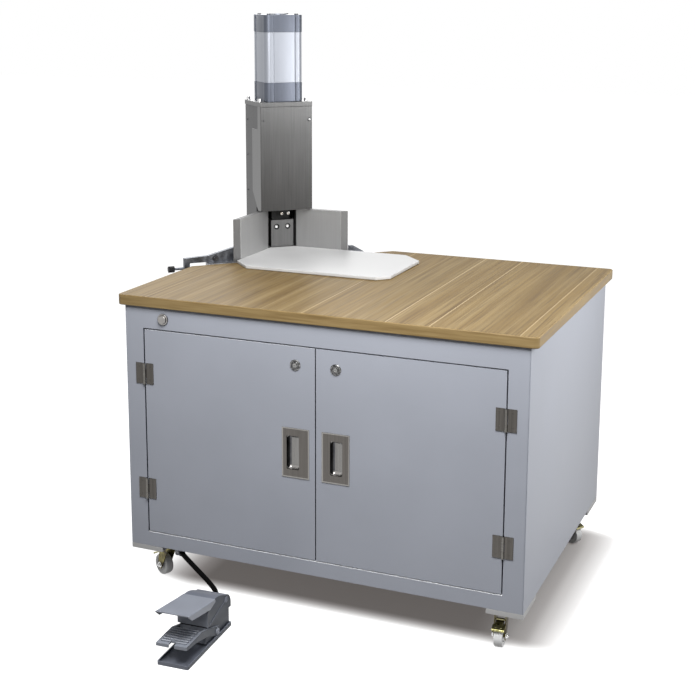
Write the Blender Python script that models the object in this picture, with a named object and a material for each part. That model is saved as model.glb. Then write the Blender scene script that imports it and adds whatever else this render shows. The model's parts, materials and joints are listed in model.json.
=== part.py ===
import bpy
import bmesh
from math import cos, sin, pi, radians, sqrt
from mathutils import Matrix, Vector

# Common clearances and sheet sizes, in metres
gap = 0.0003
weld = 0.000002
sheet = 0.002
reach = 0.05
round_steps = 40
small_steps = 24

# Cabinet
cab_width = 1.16
cab_depth = 0.88
cab_low = 0.125
cab_high = 0.83
rail_depth = 0.024
stop_lip = 0.012
flange = 0.02
stile = 0.057
open_low = 0.168
open_high = 0.768

# Tabletop
board = 0.03
side_overhang = 0.02
front_overhang = 0.01
cut_leg = 0.48

# Doors
door_gap = 0.003
door_depth = 0.02
door_lip = 0.015

# Leaf hinges
leaf_thick = 0.002
leaf_width = 0.0275
leaf_high = 0.06
leaf_clear = 0.0045
tongue_inset = 0.00025
knuckle_radius = 0.004
knuckle_half = 0.012
knuckle_gap = 0.0003
knuckle_inset = 0.000125
pin_radius = 0.002
pin_clear = 0.0003
hinge_low = 0.3
hinge_high = 0.638

# Flush pulls
pull_width = 0.08
pull_high = 0.14
pull_thick = 0.0015
pull_inset = 0.0185
pull_z = 0.469
cup_depth = 0.014
cup_wall = 0.0012
cup_low_lip = 0.0135
cup_open = 0.037
cup_open_high = 0.095
cup_behind = 0.012

# Cam locks
lock_from_centre = 0.0585
lock_z = 0.714
lock_flange = 0.0155
lock_flange_thick = 0.0025
lock_shank = 0.0095
lock_shank_depth = 0.0225
lock_bore = 0.0063
plug_radius = 0.006
plug_proud = 0.0012
key_slot_half = 0.00075
cam_start = 0.025
cam_thick = 0.0025
cam_long = 0.052
cam_wide = 0.012
hole_clear = 0.0003

# Push button
button_x = 0.121
button_z = 0.799
bezel_radius = 0.016
bezel_thick = 0.005
bezel_web = 0.0015
bezel_bore = 0.0118
bezel_shank = 0.011
bezel_shank_bore = 0.009
bezel_shank_depth = 0.022
button_radius = 0.0115
button_thick = 0.0035
button_rest = 0.0098
button_stem = 0.0086
button_stem_depth = 0.025

# Casters
pad_width = 0.1
pad_depth = 0.13
pad_high = 0.014
swivel_inset_x = 0.076
swivel_inset_y = 0.08
race_plate = 0.033
race_plate_thick = 0.003
race_radius = 0.022
race_low = 0.0965
trail = 0.028
wheel_radius = 0.031
wheel_half = 0.012
wheel_bore = 0.0053
wheel_round = 0.003
hub_radius = 0.019
hub_half = 0.0095
axle_radius = 0.005
axle_head = 0.008
axle_head_thick = 0.003
leg_inner = 0.0135
leg_thick = 0.0025
crown_thick = 0.004
crown_radius = 0.024
leg_top_back = 0.024
leg_top_front = 0.016
leg_foot = 0.011
leg_heel = 0.00275
tab_pivot_out = 0.022
tab_pivot_high = 0.072
tab_reach = 0.06
tab_half = 0.011
tab_thick = 0.0025
tab_roll = 0.004
tab_bore = 0.0018
tab_pin = 0.0015
tab_drop = 0.014

# Heights of the press, tower and fences are above the tabletop
# Press frame: the corner where the two fence lines meet, and the line of the tabletop's cut edge
apex_x = 0.0885
apex_from_back = 0.086
bed_gap = 0.003
bed_left = 0.29
bed_right = 0.24
bed_shoulder = 0.15
bed_back_half = 0.095
bed_back = 0.07
arm_front = 0.164
arm_back = 0.15
arm_end = 0.362
arm_leg = 0.344
arm_bar_end = 0.285
arm_rise_end = 0.19
arm_top = 0.018
arm_bend_top = 0.022
arm_rise_top = 0.046
arm_under = 0.002
arm_foot_drop = 0.022
knob_out = 0.402
knob_drop = 0.014
knob_radius = 0.0095
knob_screw = 0.004
gusset_start = 0.19
gusset_top_end = 0.204
gusset_end = 0.238
gusset_top = 0.021
gusset_toe = 0.001
bed_sink = 0.005

# Tower
tower_half = 0.0875
tower_front = 0.095
tower_back = 0.063
tower_low = 0.138
tower_high = 0.47
cap_plate = 0.015
cover_sheet = 0.0017
wing_narrow = 0.066
wing_wide = 0.01
wing_foot = 0.063
wing_taper = 0.058
wing_step = 0.072
column_half = 0.0855
column_side = 0.014
column_back = 0.012
column_front_high = 0.078
column_front_low = 0.042
cover_lap = 0.008
axis_forward = 0.016

# Air cylinder
profile_half = 0.064
post_radius = 0.018
profile_circle = 0.062
barrel_bore = 0.056
low_cap_long = 0.06
barrel_long = 0.158
high_cap_long = 0.054
disc_radius = 0.029
disc_thick = 0.004
piston_radius = 0.0555
piston_rest = 0.007
piston_thick = 0.025
rod_radius = 0.016
rod_bore = 0.0168

# Ram and blade
ram_block_half = 0.038
ram_block_front = 0.048
ram_block_back = 0.02
ram_block_low = 0.013
ram_block_high = 0.1
ram_neck_half = 0.03
ram_neck_front = 0.03
ram_neck_back = 0.018
ram_top_half = 0.0712
ram_top_front = 0.062
ram_top_back = 0.048
ram_top_low = 0.152
ram_top_high = 0.26
screw_across = 0.019
screw_z = 0.078
screw_bore = 0.009
screw_depth = 0.012
blade_arc = 0.036
blade_thick = 0.005
blade_low = 0.006
blade_high = 0.088
blade_steps = 16
slot_clear = 0.0005
slot_turn = radians(1.5)
die_half = 0.044
die_back = 0.02
die_front = 0.0264
die_thick = 0.0095
die_slot_depth = 0.006

# Fences and cutting plate
fence_thick = 0.0175
fence_high = 0.135
fence_near = 0.048
fence_left = 0.262
fence_right = 0.227
plate_thick = 0.0097
plate_long = 0.52
plate_wide = 0.352
plate_off = 0.0006
plate_cut_near = 0.04
plate_cut_right = 0.068
plate_cut_front = 0.034
plate_cut_left = 0.062

# Foot pedal
pedal_x = 0.351
pedal_y = -0.3849
pedal_turn = radians(2.7)
pedal_half = 0.041
pedal_long = 0.262
pedal_floor = 0.004
pedal_rim = 0.01
pedal_wall = 0.003
pedal_tab = 0.282
pedal_tab_half = 0.014
pedal_tab_bore = 0.003
lug_inner = 0.026
lug_thick = 0.004
lug_half = 0.008
lug_top = 0.03
pivot_s = 0.178
pivot_z = 0.022
pivot_radius = 0.003
pivot_bore = 0.0034
treadle_half = 0.033
treadle_thick = 0.003
treadle_toe_s = 0.001
treadle_toe_z = 0.044
treadle_rear_s = 0.118
treadle_rear_z = 0.066
treadle_arm = 0.003
treadle_arm_deep = 0.02
treadle_eye = 0.007
treadle_notch_half = 0.008
treadle_notch_deep = 0.02
rib_high = 0.0025
rib_thick = 0.0025
rib_count = 9
rib_first = 0.028
rib_last = 0.005
rib_side = 0.004
house_half = 0.041
house_wall = 0.0025
house_front = 0.1
house_low = 0.0103
house_mouth_z = 0.08
house_crest_s = 0.165
house_front_z = 0.1
house_crest_z = 0.12
house_rear_s = 0.232
house_rear_z = 0.1
house_back_s = 0.262
house_back_z = 0.066
house_arch_steps = 10
hood_half = 0.041
hood_thick = 0.0025
hood_front_s = 0.002
hood_rear_s = 0.128
hood_front_z = 0.146
hood_rear_z = 0.1265
hood_skirt = 0.02
hood_skirt_front = 0.02
hood_foot_s = 0.158
hood_foot_z = 0.1226
hood_foot_skirt = 0.008

# Hose and its two ends
hose_radius = 0.007
gland_out = 0.012
gland_radius = 0.0105
gland_w = -0.018
gland_z = 0.052
elbow_x = 0.133
elbow_y = 0.038
elbow_z = 0.109
elbow_turn = radians(48)
elbow_radius = 0.012
elbow_low = 0.097
elbow_out = 0.024
hose_points = 34
hose_lead = 0.014
hose_sag = 0.006


def up(height):
    """A height above the tabletop, as a height above the floor."""
    return cab_high + board + height


def apex_y():
    return cab_depth - apex_from_back


def cylinder_heights():
    """The heights of the cylinder's foot, its lower cap's top, its barrel's top and its upper cap's top."""
    foot = up(tower_high) + cap_plate
    low_cap = foot + low_cap_long
    barrel = low_cap + barrel_long
    return foot, low_cap, barrel, barrel + high_cap_long


def clear_scene():
    for item in list(bpy.data.objects):
        bpy.data.objects.remove(item)


def material(name, colour, roughness, metallic):
    made = bpy.data.materials.new(name)
    made.use_nodes = True
    shader = made.node_tree.nodes["Principled BSDF"]
    shader.inputs["Base Color"].default_value = (*colour, 1)
    shader.inputs["Roughness"].default_value = roughness
    shader.inputs["Metallic"].default_value = metallic
    return made


def empty(name, parent, place, turn=0):
    made = bpy.data.objects.new(name, None)
    bpy.context.scene.collection.objects.link(made)
    made.parent = parent
    made.location = place
    made.rotation_euler = (0, 0, turn)
    return made


def from_bmesh(name, shape):
    bmesh.ops.remove_doubles(shape, verts=shape.verts, dist=weld)
    bmesh.ops.recalc_face_normals(shape, faces=shape.faces)
    mesh = bpy.data.meshes.new(name)
    shape.to_mesh(mesh)
    shape.free()
    made = bpy.data.objects.new(name, mesh)
    bpy.context.scene.collection.objects.link(made)
    return made


def loft(name, loops, closed=False):
    """A solid through loops of points; the first and last are capped, or joined to each other."""
    shape = bmesh.new()
    rows = [[shape.verts.new(point) for point in loop] for loop in loops]
    count = len(rows[0])
    pairs = list(zip(rows, rows[1:]))
    if closed:
        pairs.append((rows[-1], rows[0]))
    for low, high in pairs:
        for i in range(count):
            j = (i + 1) % count
            shape.faces.new((low[i], low[j], high[j], high[i]))
    if not closed:
        shape.faces.new(rows[0])
        shape.faces.new(rows[-1])
    return from_bmesh(name, shape)


def upright(name, outline, low, high):
    """An outline in x and y, drawn up from low to high."""
    return loft(name, [[(x, y, z) for x, y in outline] for z in (low, high)])


def deep(name, outline, front, back):
    """An outline in x and z, drawn from front to back along y."""
    return loft(name, [[(x, y, z) for x, z in outline] for y in (front, back)])


def across(name, outline, left, right):
    """An outline in y and z, drawn from left to right along x."""
    return loft(name, [[(x, y, z) for y, z in outline] for x in (left, right)])


def block(name, low, high):
    (x0, y0, z0), (x1, y1, z1) = low, high
    return upright(name, [(x0, y0), (x1, y0), (x1, y1), (x0, y1)], z0, z1)


def circle(centre, radius, steps):
    x, y = centre
    turns = [2 * pi * i / steps for i in range(steps)]
    return [(x + radius * cos(turn), y + radius * sin(turn)) for turn in turns]


def rod_z(name, centre, radius, low, high, steps=round_steps):
    return smooth(upright(name, circle(centre, radius, steps), low, high))


def rod_y(name, centre, radius, front, back, steps=round_steps):
    return smooth(deep(name, circle(centre, radius, steps), front, back))


def rod_x(name, centre, radius, left, right, steps=round_steps):
    return smooth(across(name, circle(centre, radius, steps), left, right))


def turned(name, profile, steps):
    """A profile of radius and height turned about the local x axis."""
    shape = bmesh.new()
    verts = [shape.verts.new((along, radius, 0)) for radius, along in profile]
    edges = [shape.edges.new((verts[i], verts[(i + 1) % len(verts)])) for i in range(len(verts))]
    bmesh.ops.spin(
        shape, geom=verts + edges, cent=(0, 0, 0), axis=(1, 0, 0),
        angle=2 * pi, steps=steps, use_merge=True,
    )
    return smooth(from_bmesh(name, shape))


def smooth(item):
    item.data.shade_smooth()
    item.data.set_sharp_from_angle(angle=radians(40))
    return item


def boolean(item, other, kind):
    other.hide_render = True
    other.display_type = "WIRE"
    other.parent = item
    step = item.modifiers.new(kind.lower(), "BOOLEAN")
    step.operation = kind
    step.solver = "EXACT"
    step.object = other
    return item


def cut(item, other):
    return boolean(item, other, "DIFFERENCE")


def join(item, other):
    return boolean(item, other, "UNION")


def put(item, name, parent, finish, place=(0, 0, 0)):
    item.name = name
    item.parent = parent
    item.location = place
    item.data.materials.clear()
    item.data.materials.append(finish)
    return item


def rectangle(x0, x1, z0, z1, y):
    return [(x0, y, z0), (x1, y, z0), (x1, y, z1), (x0, y, z1)]


def grown(box, size, y):
    x0, x1, z0, z1 = box
    return rectangle(x0 - size, x1 + size, z0 - size, z1 + size, y)


# Cabinet
def front_frame(parent, finish):
    outer = (sheet + gap, cab_width - sheet - gap, cab_low, cab_high)
    inner = (stile, cab_width - stile, open_low, open_high)
    loops = [
        grown(outer, 0, 0),
        grown(inner, 0, 0),
        grown(inner, 0, rail_depth - sheet),
        grown(inner, -stop_lip, rail_depth - sheet),
        grown(inner, -stop_lip, rail_depth),
        grown(inner, sheet, rail_depth),
        grown(inner, sheet, sheet),
        grown(outer, -sheet, sheet),
        grown(outer, -sheet, rail_depth),
        grown(outer, 0, rail_depth),
    ]
    frame = loft("front_frame", loops, closed=True)
    cut(frame, rod_y("button_hole", (button_x, button_z), bezel_shank + hole_clear, -reach, reach))
    return put(frame, "front_frame", parent, finish)


def side_panels(parent, finish):
    left = block("left_side", (0, 0, cab_low), (sheet, cab_depth, cab_high))
    put(left, "left_side_panel", parent, finish)
    right = block("right_side", (0, 0, cab_low), (sheet, cab_depth, cab_high))
    put(right, "right_side_panel", parent, finish, (cab_width - sheet, 0, 0))


def pan(name, outer, face, back, wall, lip):
    """A folded sheet tray: a face with four walls, each with a lip turned in at its end."""
    inward = wall if back > face else -wall
    loops = [
        grown(outer, 0, face),
        grown(outer, 0, back),
        grown(outer, -lip, back),
        grown(outer, -lip, back - inward),
        grown(outer, -wall, back - inward),
        grown(outer, -wall, face + inward),
    ]
    return loft(name, loops)


def tray(name, outer, face, back, wall):
    """A folded sheet tray with plain walls."""
    inward = wall if back > face else -wall
    loops = [
        grown(outer, 0, face),
        grown(outer, 0, back),
        grown(outer, -wall, back),
        grown(outer, -wall, face + inward),
    ]
    return loft(name, loops)


def lay_flat(item):
    """Turns a tray made facing the front so that its face is at the given height instead."""
    item.data.transform(Matrix(((1, 0, 0), (0, 0, 1), (0, 1, 0))).to_4x4())
    item.data.flip_normals()
    return item


def back_panel(parent, finish):
    outer = (sheet + gap, cab_width - sheet - gap, cab_low, cab_high)
    made = tray("back", outer, cab_depth, cab_depth - flange, sheet)
    return put(made, "back_panel", parent, finish)


def flat_pans(parent, finish):
    outer = (sheet + gap, cab_width - sheet - gap, rail_depth + gap, cab_depth - flange - gap)
    floor = lay_flat(tray("floor", outer, cab_low, cab_low + flange, sheet))
    join(floor, rod_z("elbow_stem", (elbow_x, elbow_y), elbow_radius, elbow_low, cab_low + sheet / 2))
    nose = rod_y("elbow_nose", (0, elbow_z), gland_radius, -elbow_out, 0, small_steps)
    nose.location = (elbow_x, elbow_y, 0)
    nose.rotation_euler = (0, 0, elbow_turn)
    join(floor, nose)
    put(floor, "floor_panel", parent, finish)
    top = lay_flat(tray("top", outer, cab_high, cab_high - flange, sheet))
    return put(top, "top_panel", parent, finish)


def tabletop(parent, finish):
    left = -side_overhang
    right = cab_width + side_overhang
    front = -front_overhang
    back = cab_depth + front_overhang
    outline = [
        (left, front),
        (right, front),
        (right, back),
        (left + cut_leg, back),
        (left, back - cut_leg),
    ]
    made = upright("tabletop", outline, cab_high + gap, up(0))
    return put(made, "tabletop", parent, finish)


# Doors: side is -1 for the left one and 1 for the right one; each is built about its hinge axis
def door(parent, side, finish):
    hinge = empty(("left" if side < 0 else "right") + "_door_hinge", parent, hinge_axis(side))
    near = door_gap / 2
    far = cab_width / 2 - stile - door_gap
    axis_y = -hinge_axis(side)[1]
    low = open_low + door_gap
    high = open_high - door_gap
    span = (near, far) if side < 0 else (-far, -near)
    made = pan("door", (span[0], span[1], low, high), axis_y, axis_y + door_depth, sheet, door_lip)
    inward = -side
    pull_x = inward * pull_centre()
    cup_half = cup_open / 2 + cup_behind / 2 + cup_wall + hole_clear
    cup_x = pull_x + inward * cup_shift()
    pull_cut = block(
        "pull_cut",
        (cup_x - cup_half, axis_y - reach, pull_z - cup_open_high / 2 - cup_wall - hole_clear),
        (cup_x + cup_half, axis_y + reach, pull_z + cup_open_high / 2 + cup_wall + hole_clear),
    )
    cut(made, pull_cut)
    lock_x = inward * (hinge_to_centre() - lock_from_centre)
    cut(made, rod_y("lock_cut", (lock_x, lock_z), lock_shank + hole_clear, axis_y - reach, axis_y + reach))
    word = "left" if side < 0 else "right"
    put(made, word + "_door", hinge, finish)
    return hinge


def hinge_axis(side):
    x = stile + door_gap / 2
    y = -gap - knuckle_radius
    return (x if side < 0 else cab_width - x, y, 0)


def hinge_to_centre():
    return cab_width / 2 - stile - door_gap / 2


def pull_centre():
    return hinge_to_centre() - pull_inset - pull_width / 2


def cup_shift():
    """From the middle of the pull plate to the middle of its cup, away from the hinge."""
    return -pull_width / 2 + cup_low_lip + (cup_open + cup_behind) / 2


def leaf(side, door_side, z):
    """One leaf of a hinge, built about the pin axis; door_side is 1 for the leaf on the door."""
    toward = -side * door_side
    back = knuckle_radius
    front = back - leaf_thick
    plate = deep(
        "leaf",
        [
            (toward * leaf_clear, z - leaf_high / 2),
            (toward * leaf_width, z - leaf_high / 2),
            (toward * leaf_width, z + leaf_high / 2),
            (toward * leaf_clear, z + leaf_high / 2),
        ],
        front,
        back,
    )
    end = leaf_high / 2
    root = toward * (leaf_clear + leaf_thick)
    if door_side > 0:
        spans = [(z - knuckle_half + knuckle_gap, z + knuckle_half - knuckle_gap)]
    else:
        spans = [(z - end, z - knuckle_half), (z + knuckle_half, z + end)]
    for low, high in spans:
        tongue = deep(
            "tongue",
            [(0, low), (root, low), (root, high), (0, high)],
            front,
            back - tongue_inset,
        )
        join(plate, tongue)
        join(plate, rod_z("knuckle", (0, 0), knuckle_radius - knuckle_inset, low, high, small_steps))
    if door_side > 0:
        cut(plate, rod_z("pin_bore", (0, 0), pin_radius + pin_clear, z - end, z + end, small_steps))
    else:
        pin_half = end - leaf_thick
        join(plate, rod_z("pin", (0, 0), pin_radius, z - pin_half, z + pin_half, small_steps))
    return plate


def hinges(parent, hinge, side, finish):
    word = "left" if side < 0 else "right"
    for height, z in (("upper", hinge_high), ("lower", hinge_low)):
        fixed = leaf(side, -1, z)
        put(fixed, word + "_" + height + "_frame_leaf", parent, finish, hinge_axis(side))
        put(leaf(side, 1, z), word + "_" + height + "_door_leaf", hinge, finish)


def pull(hinge, side, finish):
    inward = -side
    face = -hinge_axis(side)[1]
    centre = inward * pull_centre()
    cup = centre + inward * cup_shift()
    half = (cup_open + cup_behind) / 2
    tall = cup_open_high / 2
    front = face - gap - pull_thick
    made = block(
        "pull",
        (centre - pull_width / 2, front, pull_z - pull_high / 2),
        (centre + pull_width / 2, face - gap, pull_z + pull_high / 2),
    )
    shell = block(
        "cup_shell",
        (cup - half - cup_wall, front + pull_thick / 2, pull_z - tall - cup_wall),
        (cup + half + cup_wall, face + cup_depth, pull_z + tall + cup_wall),
    )
    join(made, shell)
    hollow = block(
        "cup_hollow",
        (cup - half, front + pull_thick, pull_z - tall),
        (cup + half, face + cup_depth - cup_wall, pull_z + tall),
    )
    cut(made, hollow)
    edge = cup - inward * half
    other = edge + inward * cup_open
    mouth = block(
        "cup_mouth",
        (min(edge, other), front - pull_thick, pull_z - tall),
        (max(edge, other), face, pull_z + tall),
    )
    cut(made, mouth)
    word = "left" if side < 0 else "right"
    return put(made, word + "_pull", hinge, finish)


def cam_lock(hinge, side, finish, dark):
    inward = -side
    word = "left" if side < 0 else "right"
    face = -hinge_axis(side)[1]
    centre = inward * (hinge_to_centre() - lock_from_centre)
    seat = empty(word + "_lock_axis", hinge, (centre, face, lock_z))
    body = rod_y("body", (0, 0), lock_flange, -gap - lock_flange_thick, -gap)
    join(body, rod_y("shank", (0, 0), lock_shank, -gap - lock_flange_thick / 2, lock_shank_depth))
    cut(body, rod_y("lock_hole", (0, 0), lock_bore, -reach, reach, small_steps))
    put(body, word + "_lock_body", seat, finish)
    front = -gap - lock_flange_thick - plug_proud
    plug = rod_y("plug", (0, 0), plug_radius, front, cam_start + cam_thick / 2, small_steps)
    tip = side * cam_long
    heel = -side * cam_wide / 2
    cam = block(
        "cam",
        (min(tip, heel), cam_start, -cam_wide / 2),
        (max(tip, heel), cam_start + cam_thick, cam_wide / 2),
    )
    join(plug, cam)
    slot = block(
        "key_slot",
        (-plug_radius / 2, front - plug_proud, -key_slot_half),
        (plug_radius / 2, front + plug_proud, key_slot_half),
    )
    cut(plug, slot)
    return put(plug, word + "_lock_plug", seat, dark)


def push_button(parent, finish, dark):
    seat = empty("button_axis", parent, (button_x, 0, button_z))
    bezel = rod_y("bezel", (0, 0), bezel_radius, -gap - bezel_thick, -gap)
    join(bezel, rod_y("bezel_shank", (0, 0), bezel_shank, -gap - bezel_web / 2, bezel_shank_depth))
    cut(bezel, rod_y("bezel_mouth", (0, 0), bezel_bore, -reach, -gap - bezel_web))
    cut(bezel, rod_y("bezel_hole", (0, 0), bezel_shank_bore, -reach, reach, small_steps))
    put(bezel, "button_bezel", seat, finish)
    cap = rod_y("cap", (0, 0), button_radius, -button_rest, -button_rest + button_thick)
    stem_front = -button_rest + button_thick / 2
    join(cap, rod_y("stem", (0, 0), button_stem, stem_front, button_stem_depth, small_steps))
    return put(cap, "button_cap", seat, dark)


# Casters: built about the swivel axis with the wheel trailing towards +x
def caster_pad(parent, x_side, y_side, name, finish):
    corner_x = 0 if x_side < 0 else cab_width
    corner_y = 0 if y_side < 0 else cab_depth
    swivel_x = corner_x - x_side * swivel_inset_x
    swivel_y = corner_y - y_side * swivel_inset_y
    out_x = x_side * swivel_inset_x
    out_y = y_side * swivel_inset_y
    in_x = out_x - x_side * pad_width
    in_y = out_y - y_side * pad_depth
    high = cab_low - gap
    low = high - pad_high
    made = block(
        "pad",
        (min(out_x, in_x), min(out_y, in_y), low),
        (max(out_x, in_x), max(out_y, in_y), high),
    )
    square = block(
        "race_plate",
        (-race_plate, -race_plate, low - race_plate_thick),
        (race_plate, race_plate, low + pad_high / 2),
    )
    join(made, square)
    join(made, rod_z("race", (0, 0), race_radius, race_low, low))
    return put(made, name + "_caster_pad", parent, finish, (swivel_x, swivel_y, 0)), (swivel_x, swivel_y)


def caster_fork(seat, name, finish):
    high = race_low - gap
    crown_low = high - crown_thick
    made = rod_z("fork", (0, 0), crown_radius, crown_low, high)
    out = leg_inner + leg_thick
    legs_deep = deep(
        "legs",
        [
            (-leg_top_front, high),
            (leg_top_back, high),
            (trail + leg_foot, wheel_radius + leg_heel),
            (trail + leg_foot / 2, wheel_radius - leg_foot),
            (trail - leg_foot / 2, wheel_radius - leg_foot),
            (trail - leg_foot, wheel_radius),
        ],
        -out,
        out,
    )
    join(made, legs_deep)
    inside = block(
        "inside", (-reach - trail, -leg_inner, -reach), (reach + trail, leg_inner, crown_low)
    )
    cut(made, inside)
    head = out + axle_head_thick
    hub = (trail, wheel_radius)
    root = leg_inner + leg_thick / 2
    join(made, rod_y("axle", hub, axle_radius, -out, out, small_steps))
    join(made, rod_y("bolt_head", hub, axle_head, -head, -root, small_steps))
    join(made, rod_y("nut", hub, axle_head, root, head, small_steps))
    lug_back = tab_pivot_out - tab_roll
    for hand in (-1, 1):
        low = min(hand * leg_inner, hand * out)
        lug = block(
            "lug",
            (lug_back, low, tab_pivot_high - tab_roll),
            (tab_pivot_out + tab_roll, low + leg_thick, high),
        )
        join(made, lug)
    join(made, rod_y("tab_pin", (tab_pivot_out, tab_pivot_high), tab_pin, -out, out, small_steps))
    return put(made, name + "_caster_fork", seat, finish)


def caster_wheel(seat, name, finish):
    axle = empty(name + "_axle", seat, (trail, 0, wheel_radius))
    axle.rotation_euler = (0, 0, pi / 2)
    shoulder = wheel_radius - wheel_round
    profile = [
        (wheel_bore, -hub_half),
        (hub_radius, -hub_half),
        (hub_radius, -wheel_half),
        (shoulder, -wheel_half),
        (wheel_radius, -wheel_half + wheel_round),
        (wheel_radius, wheel_half - wheel_round),
        (shoulder, wheel_half),
        (hub_radius, wheel_half),
        (hub_radius, hub_half),
        (wheel_bore, hub_half),
    ]
    return put(turned("wheel", profile, round_steps), name + "_caster_wheel", axle, finish)


def brake_tab(seat, name, finish):
    pivot = empty(name + "_brake_axis", seat, (tab_pivot_out, 0, tab_pivot_high))
    tip = tab_reach - tab_pivot_out
    outline = [
        (0, 0),
        (0, tab_thick),
        (tip, tab_thick - tab_drop),
        (tip + tab_thick, -tab_drop),
        (tip, -tab_drop),
    ]
    made = deep("tab", outline, -tab_half, tab_half)
    join(made, rod_y("tab_roll", (0, 0), tab_roll, -tab_half, tab_half, small_steps))
    cut(made, rod_y("tab_bore", (0, 0), tab_bore, -reach, reach, small_steps))
    return put(made, name + "_brake_tab", pivot, finish)


def caster(parent, x_side, y_side, name, turn, finishes):
    steel, tread, plate = finishes
    centre = caster_pad(parent, x_side, y_side, name, plate)[1]
    seat = empty(name + "_swivel", parent, (*centre, 0), turn)
    caster_fork(seat, name, steel)
    caster_wheel(seat, name, tread)
    brake_tab(seat, name, steel)


# Press: local x runs along the tower's front, local y runs away from the worktop
def press_bed(press, finish):
    front = bed_gap - diagonal_to_cut()
    outline = [
        (-bed_left, front),
        (bed_right, front),
        (bed_right, -bed_shoulder),
        (bed_back_half, bed_back),
        (-bed_back_half, bed_back),
        (-bed_left, -bed_shoulder),
    ]
    top = up(0)
    made = upright("bed", outline, cab_high + gap, top)
    sunk = top - bed_sink
    arm = deep(
        "arm",
        [
            (-arm_end, up(arm_top)),
            (-arm_end, up(-arm_foot_drop)),
            (-arm_leg, up(-arm_foot_drop)),
            (-arm_leg, up(arm_under)),
            (-arm_bar_end, up(arm_under)),
            (-arm_bar_end + bed_sink, sunk),
            (-arm_rise_end, sunk),
            (-arm_rise_end, up(arm_rise_top)),
            (-arm_bar_end, up(arm_bend_top)),
        ],
        -arm_front,
        -arm_back,
    )
    join(made, arm)
    middle = -(arm_front + arm_back) / 2
    knob = (middle, up(-knob_drop))
    join(made, rod_x("knob_screw", knob, knob_screw, -knob_out, -arm_leg - knob_screw, small_steps))
    knob_end = knob_out + knob_radius
    join(made, rod_x("knob", knob, knob_radius, -knob_end, knob_radius - knob_out, small_steps))
    gusset = deep(
        "gusset",
        [
            (gusset_start, sunk),
            (gusset_end, sunk),
            (gusset_end, up(gusset_toe)),
            (gusset_top_end, up(gusset_top)),
            (gusset_start, up(gusset_top)),
        ],
        -arm_front,
        -arm_back,
    )
    join(made, gusset)
    return put(made, "press_bed", press, finish)


def diagonal_to_cut():
    """Distance from the apex to the tabletop's cut edge, along the diagonal, as a negative number."""
    offset = cab_depth + front_overhang - cut_leg + side_overhang
    return (apex_y() - apex_x - offset) / sqrt(2)


def press_column(press, finish):
    inner = column_half - column_side
    back = tower_back - column_back
    outline = [
        (-column_half, -column_front_high),
        (-inner, -column_front_high),
        (-inner, back),
        (inner, back),
        (inner, -column_front_high),
        (column_half, -column_front_high),
        (column_half, tower_back),
        (-column_half, tower_back),
    ]
    made = upright("column", outline, up(gap), up(tower_high))
    notch = block(
        "notch",
        (-tower_half, -tower_front, 0),
        (tower_half, -column_front_low, up(tower_low + cover_lap)),
    )
    cut(made, notch)
    return put(made, "press_column", press, finish)


def tower_cover(press, finish):
    inner = tower_half - cover_sheet
    back = -tower_front + cover_sheet / 2
    made = block(
        "cover",
        (-tower_half, -tower_front, up(tower_low)),
        (tower_half, -tower_front + cover_sheet, up(tower_high)),
    )
    wing = [
        (back, up(tower_low)),
        (-wing_foot, up(tower_low)),
        (-wing_wide, up(tower_low + wing_taper)),
        (-wing_wide, up(tower_high - wing_step)),
        (-wing_narrow, up(tower_high - wing_step)),
        (-wing_narrow, up(tower_high)),
        (back, up(tower_high)),
    ]
    join(made, across("left_wing", wing, -tower_half, -inner))
    join(made, across("right_wing", wing, inner, tower_half))
    return put(made, "tower_cover", press, finish)


def tower_top(press, finish):
    low = up(tower_high)
    high = low + cap_plate
    made = block("top_plate", (-tower_half, -tower_front, low + gap), (tower_half, tower_back, high))
    cut(made, rod_z("rod_hole", (0, -axis_forward), rod_bore, low - reach, high + reach))
    return put(made, "tower_top_plate", press, finish)


def rounded_square(half, radius, steps):
    points = []
    for k in range(4):
        start = k * pi / 2
        turn = start + pi / 4
        x = (half - radius) * sqrt(2) * cos(turn)
        y = (half - radius) * sqrt(2) * sin(turn)
        for i in range(steps + 1):
            angle = start + pi / 2 * i / steps
            points.append((x + radius * cos(angle), y + radius * sin(angle)))
    return points


def profile_outline(steps):
    """The barrel's outline: a round middle with a tie post at each corner."""
    post = profile_half - post_radius
    far = post * sqrt(2)
    points = []
    for i in range(steps):
        turn = 2 * pi * i / steps
        best = profile_circle
        off = (turn % (pi / 2)) - pi / 4
        under = post_radius**2 - (far * sin(off)) ** 2
        if under > 0:
            best = max(best, far * cos(off) + sqrt(under))
        points.append((best * cos(turn), best * sin(turn)))
    return points


def air_cylinder(axis, caps, barrel_finish):
    foot, cap_top, barrel_top, top = cylinder_heights()
    steps = small_steps // 4
    square = rounded_square(profile_half, post_radius, steps)
    lower = upright("lower_cap", square, foot + gap, cap_top)
    cut(lower, rod_z("cap_bore", (0, 0), rod_bore, foot - reach, cap_top + reach))
    put(smooth(lower), "cylinder_lower_cap", axis, caps)
    barrel = upright("barrel", profile_outline(round_steps * 3), cap_top + gap, barrel_top)
    cut(barrel, rod_z("barrel_hole", (0, 0), barrel_bore, cap_top - reach, barrel_top + reach))
    put(smooth(barrel), "cylinder_barrel", axis, barrel_finish)
    upper = upright("upper_cap", square, barrel_top + gap, top)
    join(upper, rod_z("disc", (0, 0), disc_radius, top - disc_thick, top + disc_thick))
    put(smooth(upper), "cylinder_upper_cap", axis, caps)


def piston_and_rod(axis, finish):
    low = cylinder_heights()[1] + piston_rest
    made = rod_z("rod", (0, 0), rod_radius, up(ram_top_high) + gap, low + piston_thick / 2)
    join(made, rod_z("piston", (0, 0), piston_radius, low, low + piston_thick))
    return put(made, "piston_rod", axis, finish)


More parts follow.
